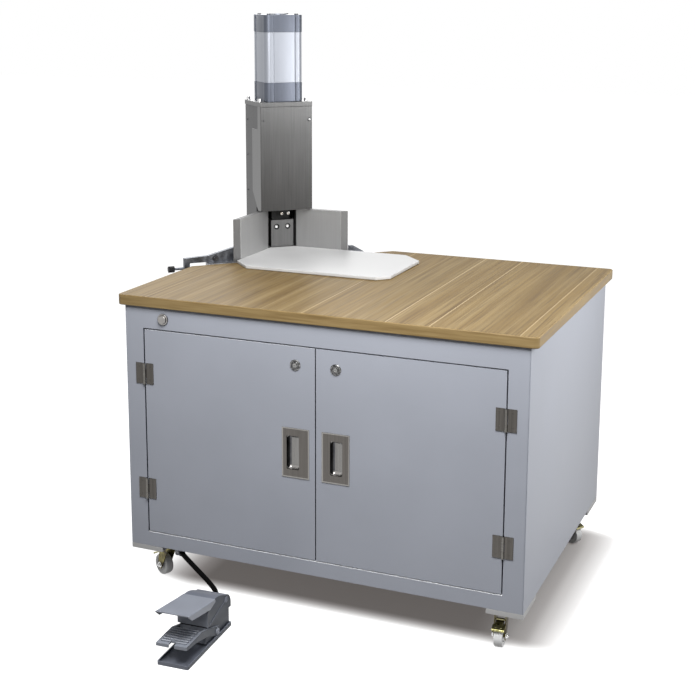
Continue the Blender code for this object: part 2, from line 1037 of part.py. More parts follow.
def arc_strip(inner, outer, spare):
    """The blade's outline from above, tangent to both fence lines, in the press frame."""
    middle = blade_arc * sqrt(2)
    start = pi / 4 - spare
    end = 3 * pi / 4 + spare
    turns = [start + (end - start) * i / blade_steps for i in range(blade_steps + 1)]
    near = [(inner * cos(turn), inner * sin(turn) - middle) for turn in turns]
    away = [(outer * cos(turn), outer * sin(turn) - middle) for turn in reversed(turns)]
    return near + away


def ram(axis, press_offset, finish):
    made = block(
        "ram",
        (-ram_top_half, -ram_top_front, up(ram_top_low)),
        (ram_top_half, ram_top_back, up(ram_top_high)),
    )
    neck = block(
        "neck",
        (-ram_neck_half, -ram_neck_front, up(ram_block_high) - bed_sink),
        (ram_neck_half, ram_neck_back, up(ram_top_low) + bed_sink),
    )
    join(made, neck)
    holder = block(
        "holder",
        (-ram_block_half, -ram_block_front, up(ram_block_low)),
        (ram_block_half, ram_block_back, up(ram_block_high)),
    )
    join(made, holder)
    strip = arc_strip(blade_arc - slot_clear, blade_arc + blade_thick + slot_clear, slot_turn)
    cut(made, upright("blade_slot", strip, up(ram_block_low) - reach, up(blade_high) + slot_clear))
    for hand in (-1, 1):
        bore = rod_y(
            "bore", (hand * screw_across, up(screw_z)), screw_bore, -ram_block_front - screw_depth,
            -ram_block_front + screw_depth, small_steps,
        )
        cut(made, bore)
    return put(made, "ram", axis, finish, press_offset)


def blade_and_die(axis, press, press_offset, finish):
    strip = arc_strip(blade_arc, blade_arc + blade_thick, 0)
    blade = smooth(upright("blade", strip, up(blade_low), up(blade_high)))
    put(blade, "corner_blade", axis, finish, press_offset)
    low = up(gap)
    die = block("die", (-die_half, -die_front, low), (die_half, die_back, low + die_thick))
    groove = arc_strip(blade_arc - slot_clear, blade_arc + blade_thick + slot_clear, slot_turn)
    cut(die, upright("groove", groove, low + die_thick - die_slot_depth, low + reach))
    put(die, "lower_die", press, finish)


# Fences and plate: local x runs to the right and local y to the back, from the apex
def fences(corner, finish):
    near = fence_near * sqrt(2)
    low = up(gap)
    left = [
        (0, -near),
        (-fence_thick, -near + fence_thick),
        (-fence_thick, -fence_left - fence_thick),
        (0, -fence_left),
    ]
    put(upright("left", left, low, up(fence_high)), "left_fence", corner, finish)
    right = [
        (near, 0),
        (fence_right, 0),
        (fence_right + fence_thick, fence_thick),
        (near - fence_thick, fence_thick),
    ]
    put(upright("right", right, low, up(fence_high)), "right_fence", corner, finish)


def cutting_plate(corner, finish):
    left = plate_off
    back = -plate_off
    right = left + plate_long
    front = back - plate_wide
    outline = [
        (left, back - plate_cut_near),
        (left + plate_cut_near, back),
        (right - plate_cut_right, back),
        (right, back - plate_cut_right),
        (right, front + plate_cut_front),
        (right - plate_cut_front, front),
        (left + plate_cut_left, front),
        (left, front + plate_cut_left),
    ]
    low = up(gap)
    return put(upright("plate", outline, low, low + plate_thick), "cutting_plate", corner, finish)


# Foot pedal: local x runs across and local y from the toe to the rear
def pedal_base(pedal, finish):
    made = block("base", (-pedal_half, 0, 0), (pedal_half, pedal_long, pedal_rim))
    inner = pedal_half - pedal_wall
    pocket = block(
        "pocket", (-inner, pedal_wall, pedal_floor), (inner, pedal_long - pedal_wall, pedal_rim + reach)
    )
    cut(made, pocket)
    tab = block(
        "tab",
        (-pedal_tab_half, pedal_long - pedal_wall / 2, 0),
        (pedal_tab_half, pedal_tab, pedal_rim - pedal_wall),
    )
    join(made, tab)
    hole_y = (pedal_long + pedal_tab) / 2
    cut(made, rod_z("tab_hole", (0, hole_y), pedal_tab_bore, -reach, reach, small_steps))
    for hand in (-1, 1):
        low = min(hand * lug_inner, hand * (lug_inner + lug_thick))
        lug = block(
            "lug",
            (low, pivot_s - lug_half, pedal_floor / 2),
            (low + lug_thick, pivot_s + lug_half, lug_top),
        )
        join(made, lug)
    end = lug_inner + lug_half
    cut(made, rod_x("pivot_hole", (pivot_s, pivot_z), pivot_bore, -end, end, small_steps))
    return put(made, "pedal_base", pedal, finish)


def arch(front, crest, rear, back, steps):
    """A line from front over the crest to the rear and down to the back, rounded between."""
    points = []
    for i in range(steps + 1):
        share = i / steps
        s = front[0] + (crest[0] - front[0]) * share
        z = front[1] + (crest[1] - front[1]) * sin(share * pi / 2)
        points.append((s, z))
    for i in range(1, steps + 1):
        share = i / steps
        s = crest[0] + (rear[0] - crest[0]) * share
        z = rear[1] + (crest[1] - rear[1]) * cos(share * pi / 2)
        points.append((s, z))
    for i in range(1, steps + 1):
        turn = pi / 2 * i / steps
        s = rear[0] + (back[0] - rear[0]) * sin(turn)
        points.append((s, back[1] + (rear[1] - back[1]) * cos(turn)))
    return points


def pedal_housing(pedal, finish):
    steps = house_arch_steps
    top = arch(
        (house_front, house_front_z), (house_crest_s, house_crest_z), (house_rear_s, house_rear_z),
        (house_back_s, house_back_z), steps,
    )
    outline = [(house_back_s, house_low), (house_front, house_low)] + top
    made = smooth(across("housing", outline, -house_half, house_half))
    inset = house_wall
    under = arch(
        (house_front + inset, house_front_z - inset), (house_crest_s, house_crest_z - inset),
        (house_rear_s, house_rear_z - inset), (house_back_s - inset, house_back_z), steps,
    )
    inside = [(house_back_s - inset, -reach), (house_front + inset, -reach)] + under
    inner = house_half - inset
    cut(made, across("inside", inside, -inner, inner))
    mouth = block(
        "mouth", (-inner, house_front - reach, -reach), (inner, house_front + inset * 2, house_mouth_z)
    )
    cut(made, mouth)
    root = house_back_s - inset / 2
    end = house_back_s + gland_out
    join(made, rod_y("gland", (gland_w, gland_z), gland_radius, root, end, small_steps))
    return put(made, "pedal_housing", pedal, finish)


def treadle(pedal, finish):
    pivot = empty("treadle_axis", pedal, (0, pivot_s, pivot_z))
    toe = (treadle_toe_s - pivot_s, treadle_toe_z - pivot_z)
    rear = (treadle_rear_s - pivot_s, treadle_rear_z - pivot_z)
    plate_side = [
        toe,
        rear,
        (rear[0], rear[1] - treadle_thick),
        (toe[0], toe[1] - treadle_thick),
    ]
    made = across("treadle", plate_side, -treadle_half, treadle_half)
    for hand in (-1, 1):
        out = hand * (treadle_half + treadle_arm)
        near = hand * treadle_half - hand * treadle_arm / 2
        arm = [
            toe,
            rear,
            (treadle_eye, treadle_eye),
            (treadle_eye, -treadle_eye),
            (-treadle_eye * 2, -treadle_eye),
            (rear[0], rear[1] - treadle_arm_deep * 2),
            (toe[0], toe[1] - treadle_arm_deep / 2),
        ]
        join(made, across("arm", arm, min(out, near), max(out, near)))
    pin = treadle_half + treadle_arm / 2
    join(made, rod_x("pin", (0, 0), pivot_radius, -pin, pin, small_steps))
    rise = (rear[1] - toe[1]) / (rear[0] - toe[0])
    pitch = (rear[0] - toe[0] - rib_first - rib_last) / (rib_count - 1)
    for i in range(rib_count):
        y = toe[0] + rib_first + i * pitch
        z = toe[1] + rise * (y - toe[0])
        rib = block(
            "rib",
            (-treadle_half + rib_side, y, z - treadle_thick / 2),
            (treadle_half - rib_side, y + rib_thick, z + rib_high),
        )
        join(made, rib)
    notch = block(
        "notch",
        (-treadle_notch_half, toe[0] - reach, toe[1] - reach),
        (treadle_notch_half, toe[0] + treadle_notch_deep, toe[1] + reach),
    )
    cut(made, notch)
    return put(made, "pedal_treadle", pivot, finish)


def pedal_guard(pedal, finish):
    outline = [
        (hood_front_s, hood_front_z),
        (hood_rear_s, hood_rear_z),
        (hood_foot_s, hood_foot_z),
        (hood_foot_s, hood_foot_z - hood_foot_skirt),
        (hood_rear_s, hood_rear_z - hood_skirt),
        (hood_skirt_front + hood_front_s, hood_front_z - hood_skirt),
        (hood_front_s, hood_front_z - hood_thick),
    ]
    wide = hood_half + hood_thick + gap
    made = across("hood", outline, -wide, wide)
    front_z = hood_front_z - hood_thick + (hood_front_z - hood_rear_z) * reach / hood_rear_s
    inside = [
        (hood_front_s - reach, front_z),
        (hood_rear_s, hood_rear_z - hood_thick),
        (hood_foot_s, hood_foot_z - hood_thick),
        (hood_foot_s + reach, hood_foot_z - hood_thick),
        (hood_foot_s + reach, -reach),
        (hood_front_s - reach, -reach),
    ]
    cut(made, across("under", inside, -hood_half - gap, hood_half + gap))
    return put(made, "pedal_guard", pedal, finish)


# Hose
def hermite(start, start_pull, end, end_pull, share):
    a = 2 * share**3 - 3 * share**2 + 1
    b = share**3 - 2 * share**2 + share
    c = -2 * share**3 + 3 * share**2
    d = share**3 - share**2
    return start * a + start_pull * b + end * c + end_pull * d


def pedal_hose(parent, finish):
    turn = Matrix.Rotation(pedal_turn, 4, "Z")
    origin = Vector((pedal_x, pedal_y, 0))
    back = turn @ Vector((0, 1, 0))
    start = origin + turn @ Vector((gland_w, house_back_s + gland_out + gap, gland_z))
    aim = Vector((sin(elbow_turn), -cos(elbow_turn), 0))
    end = Vector((elbow_x, elbow_y, elbow_z)) + aim * (elbow_out + gap)
    low = start + back * hose_lead
    high = end + aim * hose_lead
    length = (high - low).length
    route = [start]
    for i in range(hose_points):
        share = i / (hose_points - 1)
        point = hermite(low, back * length, high, -aim * length, share)
        point.z -= hose_sag * sin(pi * share) ** 2
        route.append(point)
    route.append(end)
    curve = bpy.data.curves.new("hose", "CURVE")
    curve.dimensions = "3D"
    line = curve.splines.new("POLY")
    line.points.add(len(route) - 1)
    for knot, point in zip(line.points, route):
        knot.co = (*point, 1)
    curve.bevel_depth = hose_radius
    curve.bevel_resolution = 3
    curve.use_fill_caps = True
    made = bpy.data.objects.new("hose", curve)
    bpy.context.scene.collection.objects.link(made)
    return put(made, "pedal_hose", parent, finish)


def centre_on_footprint(machine, cords):
    """Moves the machine so that the middle of its footprint is at the origin."""
    bpy.context.view_layer.update()
    corners = []
    graph = bpy.context.evaluated_depsgraph_get()
    for item in bpy.data.objects:
        if item.type != "MESH" or item.hide_render or item in cords:
            continue
        solid = item.evaluated_get(graph)
        corners += [solid.matrix_world @ vert.co for vert in solid.to_mesh().vertices]
        solid.to_mesh_clear()
    xs = [corner.x for corner in corners]
    ys = [corner.y for corner in corners]
    machine.location = (-(min(xs) + max(xs)) / 2, -(min(ys) + max(ys)) / 2, 0)
    bpy.context.view_layer.update()


def build():
    clear_scene()
    blue = material("blue_grey_paint", (0.40, 0.43, 0.47), 0.4, 0.3)
    wood = material("oak_laminate", (0.42, 0.31, 0.18), 0.45, 0)
    steel = material("brushed_steel", (0.42, 0.41, 0.39), 0.35, 1)
    chrome = material("chrome", (0.7, 0.7, 0.7), 0.15, 1)
    dark = material("dark_steel", (0.2, 0.2, 0.21), 0.4, 1)
    cap_paint = material("cylinder_grey", (0.20, 0.23, 0.29), 0.4, 0.2)
    aluminium = material("aluminium", (0.68, 0.7, 0.73), 0.3, 1)
    zinc = material("yellow_zinc", (0.55, 0.52, 0.36), 0.35, 1)
    wheel = material("wheel_plastic", (0.75, 0.75, 0.72), 0.4, 0)
    white = material("white_plate", (0.72, 0.73, 0.73), 0.35, 0)
    pedal_paint = material("pedal_grey", (0.15, 0.17, 0.2), 0.5, 0)
    rubber = material("black_rubber", (0.02, 0.02, 0.02), 0.6, 0)
    machine = empty("machine", None, (0, 0, 0))
    front_frame(machine, blue)
    side_panels(machine, blue)
    back_panel(machine, blue)
    flat_pans(machine, blue)
    tabletop(machine, wood)
    for side in (-1, 1):
        hinge = door(machine, side, blue)
        hinges(machine, hinge, side, steel)
        pull(hinge, side, steel)
        cam_lock(hinge, side, chrome, dark)
    push_button(machine, chrome, steel)
    finishes = (zinc, wheel, steel)
    caster(machine, -1, -1, "front_left", radians(155), finishes)
    caster(machine, 1, -1, "front_right", radians(-86), finishes)
    caster(machine, 1, 1, "rear_right", radians(-30), finishes)
    caster(machine, -1, 1, "rear_left", radians(215), finishes)
    press = empty("press", machine, (apex_x, apex_y(), 0), pi / 4)
    press_bed(press, dark)
    press_column(press, steel)
    tower_cover(press, steel)
    tower_top(press, steel)
    axis = empty("cylinder_axis", press, (0, -axis_forward, 0))
    back_to_press = (0, axis_forward, 0)
    air_cylinder(axis, cap_paint, aluminium)
    piston_and_rod(axis, chrome)
    ram(axis, back_to_press, dark)
    blade_and_die(axis, press, back_to_press, steel)
    corner = empty("fence_corner", machine, (apex_x, apex_y(), 0))
    fences(corner, steel)
    cutting_plate(corner, white)
    pedal = empty("pedal", machine, (pedal_x, pedal_y, 0), pedal_turn)
    pedal_base(pedal, pedal_paint)
    pedal_housing(pedal, pedal_paint)
    treadle(pedal, pedal_paint)
    pedal_guard(pedal, pedal_paint)
    hose = pedal_hose(machine, rubber)
    centre_on_footprint(machine, [hose])


build()
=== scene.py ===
import json
from math import cos, pi, radians, sin

import bmesh
import bpy
from mathutils import Euler, Matrix, Vector


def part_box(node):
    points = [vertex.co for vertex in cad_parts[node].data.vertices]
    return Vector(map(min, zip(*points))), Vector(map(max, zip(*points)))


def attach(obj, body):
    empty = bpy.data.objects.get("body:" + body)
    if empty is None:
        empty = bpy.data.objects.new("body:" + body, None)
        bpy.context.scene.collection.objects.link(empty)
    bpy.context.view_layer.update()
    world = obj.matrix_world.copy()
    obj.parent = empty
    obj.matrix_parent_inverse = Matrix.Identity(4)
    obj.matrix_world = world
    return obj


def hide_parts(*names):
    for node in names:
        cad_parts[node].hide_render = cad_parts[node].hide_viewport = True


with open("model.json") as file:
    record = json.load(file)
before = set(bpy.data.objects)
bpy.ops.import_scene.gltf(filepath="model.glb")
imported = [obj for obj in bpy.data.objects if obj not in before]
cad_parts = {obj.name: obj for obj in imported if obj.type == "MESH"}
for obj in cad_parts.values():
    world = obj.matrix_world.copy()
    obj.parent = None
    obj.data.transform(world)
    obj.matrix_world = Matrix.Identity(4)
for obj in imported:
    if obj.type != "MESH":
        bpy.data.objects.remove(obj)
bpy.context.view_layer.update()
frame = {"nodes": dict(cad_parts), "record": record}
nodes = frame["nodes"]
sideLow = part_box("left_side_panel")[0]
corner = Vector((sideLow.x, sideLow.y, 0))  # the cabinet's front left corner on the floor
clearance = 0.0003  # between pieces that touch
overrun = 0.01  # how far a cutter runs past what it cuts
mergeGap = 0.00001  # points closer than this become one
straight = 0.9  # past this a direction counts as running along an axis
smoothAngle = radians(35)
flatAngle = radians(0.6)
print("frame loaded:", len(nodes), "nodes")


# selecting and shaping by operators
def clearSelection():
    active = bpy.context.view_layer.objects.active
    if active and active.mode != "OBJECT":
        bpy.ops.object.mode_set(mode="OBJECT")
    bpy.ops.object.select_all(action="DESELECT")


def takeHold(*pieces):
    clearSelection()
    for piece in pieces:
        piece.select_set(True)
    bpy.context.view_layer.objects.active = pieces[0]


def editAll(piece):
    takeHold(piece)
    bpy.ops.object.mode_set(mode="EDIT")
    bpy.ops.mesh.select_all(action="SELECT")


def leaveEdit():
    bpy.ops.object.mode_set(mode="OBJECT")


def facesOut():
    bpy.ops.mesh.select_all(action="SELECT")
    bpy.ops.mesh.normals_make_consistent(inside=False)
    leaveEdit()


def named(name):
    # what the last operator left active
    piece = bpy.context.object
    piece.name = name
    return piece


def newObject(name, data):
    piece = bpy.data.objects.new(name, data)
    bpy.context.scene.collection.objects.link(piece)
    return piece


def settle(piece, place=None):
    # the piece's place goes into its mesh, and its object back to the origin
    takeHold(piece)
    if place is not None:
        piece.matrix_world = place @ piece.matrix_world
        bpy.context.view_layer.update()
    bpy.ops.object.transform_apply(location=True, rotation=True, scale=True)
    return piece


def addBox(name, low, high):
    clearSelection()
    low, high = Vector(low), Vector(high)
    bpy.ops.mesh.primitive_cube_add(size=1, location=(low + high) / 2, scale=high - low)
    return settle(named(name))


def addRound(name, centre, radius, depth, sides):
    clearSelection()
    bpy.ops.mesh.primitive_cylinder_add(vertices=sides, radius=radius, depth=depth, location=centre)
    return settle(named(name))


def addRing(name, count, fill):
    clearSelection()
    bpy.ops.mesh.primitive_circle_add(vertices=count, radius=1, fill_type=fill)
    return named(name)


def addOutline(name, outline, start, end, along="Z"):
    # a filled ring with one corner for each point of the outline, drawn out along one axis
    piece = addRing(name, len(outline), "NGON")
    for vert, (a, b) in zip(piece.data.vertices, outline):
        vert.co = {"Z": (a, b, start), "Y": (a, start, b), "X": (start, a, b)}[along]
    reach = [0, 0, 0]
    reach["XYZ".index(along)] = end - start
    editAll(piece)
    bpy.ops.mesh.extrude_region_move(TRANSFORM_OT_translate={"value": tuple(reach)})
    facesOut()
    return piece


def pick(piece, test, kind="FACE"):
    # leaves the piece in edit mode with the faces or edges that pass the test selected
    takeHold(piece)
    bpy.ops.object.mode_set(mode="EDIT")
    bpy.ops.mesh.select_mode(type=kind)
    bpy.ops.mesh.select_all(action="DESELECT")
    shape = bmesh.from_edit_mesh(piece.data)
    if kind == "FACE":
        for face in shape.faces:
            face.select_set(test(face.calc_center_median(), face.normal))
    else:
        for edge in shape.edges:
            middle = (edge.verts[0].co + edge.verts[1].co) / 2
            edge.select_set(test(middle, (edge.verts[1].co - edge.verts[0].co).normalized()))
    bmesh.update_edit_mesh(piece.data)


def facingUp(middle, normal):
    return normal.z > straight


def roundEdges(piece, test, radius, segments):
    pick(piece, test, "EDGE")
    bpy.ops.mesh.bevel(offset=radius, segments=segments)
    leaveEdit()


def applied(piece, kind, **settings):
    takeHold(piece)
    bpy.ops.object.modifier_add(type=kind)
    modifier = piece.modifiers[-1]
    for key, value in settings.items():
        setattr(modifier, key, value)
    bpy.ops.object.modifier_apply(modifier=modifier.name)
    return piece


def smoothed(piece):
    takeHold(piece)
    bpy.ops.object.shade_smooth_by_angle(angle=smoothAngle)
    return piece


def softened(piece, width, segments=2, angle=30):
    # a small radius on every sharp edge, then smooth shading between them
    applied(
        piece, "BEVEL", width=width, segments=segments, limit_method="ANGLE",
        angle_limit=radians(angle), use_clamp_overlap=True, harden_normals=False,
    )
    return smoothed(piece)


def combined(piece, other, operation):
    applied(piece, "BOOLEAN", operation=operation, solver="EXACT", object=other)
    bpy.data.objects.remove(other)
    return piece


def cutWith(piece, cutter):
    return combined(piece, cutter, "DIFFERENCE")


def joined(piece, other):
    return combined(piece, other, "UNION")


def fused(name, *pieces):
    # one object of several bodies
    takeHold(*pieces)
    bpy.ops.object.join()
    return named(name)


def spun(name, profile, steps):
    # a closed profile of radius and height, turned once round the z axis
    piece = addRing(name, len(profile), "NOTHING")
    for vert, (radius, height) in zip(piece.data.vertices, profile):
        vert.co = (radius, 0, height)
    editAll(piece)
    bpy.ops.mesh.spin(steps=steps, angle=2 * pi, center=(0, 0, 0), axis=(0, 0, 1))
    bpy.ops.mesh.select_all(action="SELECT")
    bpy.ops.mesh.remove_doubles(threshold=mergeGap)
    bpy.ops.mesh.delete_loose(use_verts=True, use_edges=True, use_faces=False)
    facesOut()
    return smoothed(piece)


def nodeCopy(node, name):
    # a copy of the node's mesh, merged and with flat faces made whole again
    piece = newObject(name, nodes[node].data.copy())
    editAll(piece)
    bpy.ops.mesh.remove_doubles(threshold=mergeGap)
    bpy.ops.mesh.dissolve_limited(angle_limit=flatAngle)
    leaveEdit()
    piece.data.materials.clear()
    return piece


def finished(piece, body, slotName, finish, *replaced):
    # flat faces keep their own direction beside the rounded edges
    applied(piece, "WEIGHTED_NORMAL", keep_sharp=True)
    piece.data.materials.clear()
    piece.data.materials.append(finish)
    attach(piece, body)
    if replaced:
        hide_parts(*replaced)
    return piece


def zoned(piece, *zones):
    # further finishes for the faces that pass their tests, which read a face's middle and normal
    for finish, test in zones:
        piece.data.materials.append(finish)
        index = len(piece.data.materials) - 1
        for face in piece.data.polygons:
            if test(face.center, face.normal):
                face.material_index = index
    return piece


def pieceWord(nodeName):
    # front_left as frontLeft
    first, *others = nodeName.split("_")
    return first + "".join(other.title() for other in others)


# camera
cameraValues = {
    "place": Vector((1.9326, -3.0269, 1.6699)),
    "lens": 67.59,
    "sensor": 36,
    "azimuth": radians(22.706),
    "elevation": radians(11.131),
    "roll": radians(0.204),
    "shift": (0.0022, -0.1338),
    "clip": (0.05, 60),
}


def setCamera(values):
    lens = bpy.data.cameras.new("camera")
    lens.lens = values["lens"]
    lens.sensor_width = values["sensor"]
    lens.shift_x, lens.shift_y = values["shift"]
    lens.clip_start, lens.clip_end = values["clip"]
    camera = newObject("camera", lens)
    aim = Euler((pi / 2 - values["elevation"], 0, values["azimuth"])).to_matrix()
    camera.rotation_euler = (aim @ Matrix.Rotation(values["roll"], 3, "Z")).to_euler()
    camera.location = corner + values["place"]
    bpy.context.scene.camera = camera


setCamera(cameraValues)
print("camera set")


# air hose, with the same route as in the part's source
hoseValues = {
    "pedal": (0.351, -0.3849, 0),
    "pedalTurn": radians(2.7),
    "glandAcross": -0.018,
    "glandBack": 0.262 + 0.012 + clearance,  # the housing's back and the gland's length
    "glandHigh": 0.052,
    "elbow": (0.133, 0.038, 0.109),
    "elbowTurn": radians(48),
    "elbowOut": 0.024 + clearance,
    "radius": 0.007,
    "rounding": 6,
    "points": 34,
    "lead": 0.014,
    "sag": 0.006,
}
pedalFrame = Matrix.Translation(corner + Vector(hoseValues["pedal"])) @ Matrix.Rotation(
    hoseValues["pedalTurn"], 4, "Z"
)


def easedPoint(start, startPull, end, endPull, share):
    a = 2 * share**3 - 3 * share**2 + 1
    b = share**3 - 2 * share**2 + share
    c = -2 * share**3 + 3 * share**2
    d = share**3 - share**2
    return start * a + startPull * b + end * c + endPull * d


def hoseRoute(values):
    start = pedalFrame @ Vector((values["glandAcross"], values["glandBack"], values["glandHigh"]))
    back = Matrix.Rotation(values["pedalTurn"], 3, "Z") @ Vector((0, 1, 0))
    aim = Vector((sin(values["elbowTurn"]), -cos(values["elbowTurn"]), 0))
    end = corner + Vector(values["elbow"]) + aim * values["elbowOut"]
    low = start + back * values["lead"]
    high = end + aim * values["lead"]
    length = (high - low).length
    route = [start]
    for i in range(values["points"]):
        share = i / (values["points"] - 1)
        point = easedPoint(low, back * length, high, -aim * length, share)
        point.z -= values["sag"] * sin(pi * share) ** 2
        route.append(point)
    return route + [end]


def airHose(values):
    route = hoseRoute(values)
    line = bpy.data.curves.new("airHose", "CURVE")
    line.dimensions = "3D"
    spline = line.splines.new("POLY")
    spline.points.add(len(route) - 1)
    for knot, point in zip(spline.points, route):
        knot.co = (*point, 1)
    line.bevel_depth = values["radius"]
    line.bevel_resolution = values["rounding"]
    line.use_fill_caps = True
    hose = newObject("airHose", line)
    takeHold(hose)
    bpy.ops.object.convert(target="MESH")
    length = sum((b - a).length for a, b in zip(route, route[1:]))
    return smoothed(hose), route, length


hose, route, hoseLength = airHose(hoseValues)
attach(hose, "cabinet")
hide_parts("pedal_hose")
print("hose laid:", round(hoseLength, 3), "m")


# finishes
def feed(tree, node, inputs):
    # a socket is linked to the input, and anything else becomes its value
    for key, value in inputs.items():
        if isinstance(value, bpy.types.NodeSocket):
            tree.links.new(value, node.inputs[key])
        else:
            node.inputs[key].default_value = value
    return node


def addNode(tree, kind, inputs={}, operation=None):
    made = tree.nodes.new("ShaderNode" + kind)
    if operation:
        made.operation = operation
    return feed(tree, made, inputs)


def startFinish(name, colour, roughness, metallic=0.0, shine=None):
    finish = bpy.data.materials.new(name)
    finish.use_nodes = True
    tree = finish.node_tree
    shader = tree.nodes["Principled BSDF"]
    feed(tree, shader, {"Base Color": (*colour, 1), "Roughness": roughness, "Metallic": metallic})
    if shine is not None:
        shader.inputs["Specular IOR Level"].default_value = shine
    return finish, tree, shader, addNode(tree, "TexCoord").outputs["Object"]


def reckon(tree, operation, first, second=0.0):
    return addNode(tree, "Math", {0: first, 1: second}, operation).outputs[0]


def stretched(tree, place, scale):
    return addNode(tree, "Mapping", {"Vector": place, "Scale": scale}).outputs["Vector"]


def noise(tree, vector, scale, detail=3.0, rough=0.55):
    inputs = {"Vector": vector, "Scale": scale, "Detail": detail, "Roughness": rough}
    return addNode(tree, "TexNoise", inputs).outputs["Fac"]


def ramp(tree, fac, stops):
    made = addNode(tree, "ValToRGB", {"Fac": fac})
    band = made.color_ramp
    while len(band.elements) < len(stops):
        band.elements.new(0.5)
    for element, (at, colour) in zip(band.elements, stops):
        element.position = at
        element.color = (*colour, 1)
    return made.outputs["Color"]


def remap(tree, fac, low, high, start=0.3, end=0.7):
    inputs = {"Value": fac, "From Min": start, "From Max": end, "To Min": low, "To Max": high}
    return addNode(tree, "MapRange", inputs).outputs["Result"]


def wander(tree, fac, middle, reach):
    # a value that moves about its middle with the pattern
    return remap(tree, fac, middle + reach[0], middle + reach[1])


def blendColours(tree, fac, first, second, mode="MIX"):
    made = tree.nodes.new("ShaderNodeMix")
    made.data_type = "RGBA"
    made.blend_type = mode
    first, second = [(*c, 1) if isinstance(c, tuple) else c for c in (first, second)]
    return feed(tree, made, {0: fac, 6: first, 7: second}).outputs[2]


def bump(tree, shader, height, strength, distance):
    made = addNode(tree, "Bump", {"Height": height, "Strength": strength, "Distance": distance})
    tree.links.new(made.outputs["Normal"], shader.inputs["Normal"])


def shaded(colour, share):
    return tuple(min(1, c * share) for c in colour)


paintValues = {
    "shine": 0.2,
    "cloud": 2.2,
    "cloudBand": (0.35, 0.65),
    "tones": (0.95, 1.04),
    "speck": 260,
    "speckShare": 0.12,
    "speckBand": (0.5, 0.8),
    "roughReach": (-0.04, 0.05),
    "peel": (0.12, 0.0004),
}


def powderCoat(name, colour, grain=700, roughness=0.42):
    # a fine skin like orange peel, with a slow cloud of tone over the sheet
    values = paintValues
    finish, tree, shader, place = startFinish(name, colour, roughness, shine=values["shine"])
    cloud = noise(tree, place, values["cloud"], 4)
    dark, light = [shaded(colour, share) for share in values["tones"]]
    tone = ramp(tree, cloud, list(zip(values["cloudBand"], (dark, light))))
    speck = remap(tree, noise(tree, place, values["speck"], 2), 0, values["speckShare"], *values["speckBand"])
    tone = blendColours(tree, speck, tone, dark)
    rough = wander(tree, cloud, roughness, values["roughReach"])
    feed(tree, shader, {"Base Color": tone, "Roughness": rough})
    bump(tree, shader, noise(tree, place, grain, 2), *values["peel"])
    return finish


brushValues = {
    "long": 5,
    "fine": 900,
    "wideShare": 0.12,
    "wideTone": 0.35,
    "roughReach": (-0.07, 0.1),
    "scratchHigh": 0.0002,
}


def brushedMetal(name, colour, roughness, along="Z", depth=0.25, contrast=0.16, fade=None):
    # long fine scratches along one axis; the optional stops of height and share of the tone are painted
    # shade, darker towards the bottom
    values = brushValues
    finish, tree, shader, place = startFinish(name, colour, roughness, 1.0)
    scale = [values["fine"]] * 3
    scale["XYZ".index(along)] = values["long"]
    streak = noise(tree, stretched(tree, place, scale), 1.0, 4, 0.6)
    wide = noise(tree, stretched(tree, place, [s * values["wideShare"] for s in scale]), 1.0, 3)
    dark, light = shaded(colour, 1 - contrast), shaded(colour, 1 + contrast)
    tone = ramp(tree, streak, [(0.3, dark), (0.7, light)])
    tone = blendColours(tree, remap(tree, wide, 0, values["wideTone"]), tone, dark)
    if fade:
        low, high = fade[0][0], fade[-1][0]
        height = addNode(tree, "SeparateXYZ", {"Vector": place}).outputs["Z"]
        stops = [((z - low) / (high - low), (level,) * 3) for z, level in fade]
        share = ramp(tree, remap(tree, height, 0, 1, low, high), stops)
        tone = blendColours(tree, 1.0, tone, share, "MULTIPLY")
    rough = wander(tree, streak, roughness, values["roughReach"])
    feed(tree, shader, {"Base Color": tone, "Roughness": rough})
    bump(tree, shader, streak, depth, values["scratchHigh"])
    return finish


platedValues = {"roughReach": (-0.06, 0.08), "grainFiner": 30, "grainHigh": 0.0002}


def cloudyMetal(name, stops, roughness, scale=40, depth=0.1):
    # a plated or blackened surface whose tone wanders
    values = platedValues
    finish, tree, shader, place = startFinish(name, stops[0][1], roughness, 1.0)
    cloud = noise(tree, place, scale, 3)
    rough = wander(tree, cloud, roughness, values["roughReach"])
    feed(tree, shader, {"Base Color": ramp(tree, cloud, stops), "Roughness": rough})
    bump(tree, shader, noise(tree, place, scale * values["grainFiner"], 2), depth, values["grainHigh"])
    return finish


plasticValues = {"cloud": 14, "roughReach": (-0.05, 0.06), "grainHigh": 0.0003}


def mouldedPlastic(name, colour, roughness, grain=900, depth=0.15, cloudShare=0.06, shine=0.5):
    values = plasticValues
    finish, tree, shader, place = startFinish(name, colour, roughness, shine=shine)
    cloud = noise(tree, place, values["cloud"], 4)
    tone = ramp(tree, cloud, [(0.3, shaded(colour, 1 - cloudShare)), (0.7, shaded(colour, 1 + cloudShare))])
    rough = wander(tree, cloud, roughness, values["roughReach"])
    feed(tree, shader, {"Base Color": tone, "Roughness": rough})
    bump(tree, shader, noise(tree, place, grain, 3), depth, values["grainHigh"])
    return finish


oakValues = {
    "pale": (0.272, 0.203, 0.101),
    "mid": (0.200, 0.138, 0.060),
    "deep": (0.147, 0.096, 0.040),
    "grainStops": (0.26, 0.46, 0.72),
    "stripWide": 0.118,
    "stripTones": [(0.0, (0.90, 0.89, 0.87)), (1.0, (1.06, 1.06, 1.05))],
    "slowGrain": (44, 0.9, 44),
    "fineGrain": (170, 2.6, 170),
    "pores": [(0.34, (0.56, 0.50, 0.42)), (0.50, (1.0, 1.0, 1.0)), (0.68, (1.12, 1.12, 1.12))],
    "poreShare": 0.85,
    "seam": (0.43, 0.33, 0.19),
    "seamShare": 0.03,
    "roughness": (0.36, 0.5),
    "shine": 0.05,
    "bump": (0.12, 0.0003),
}


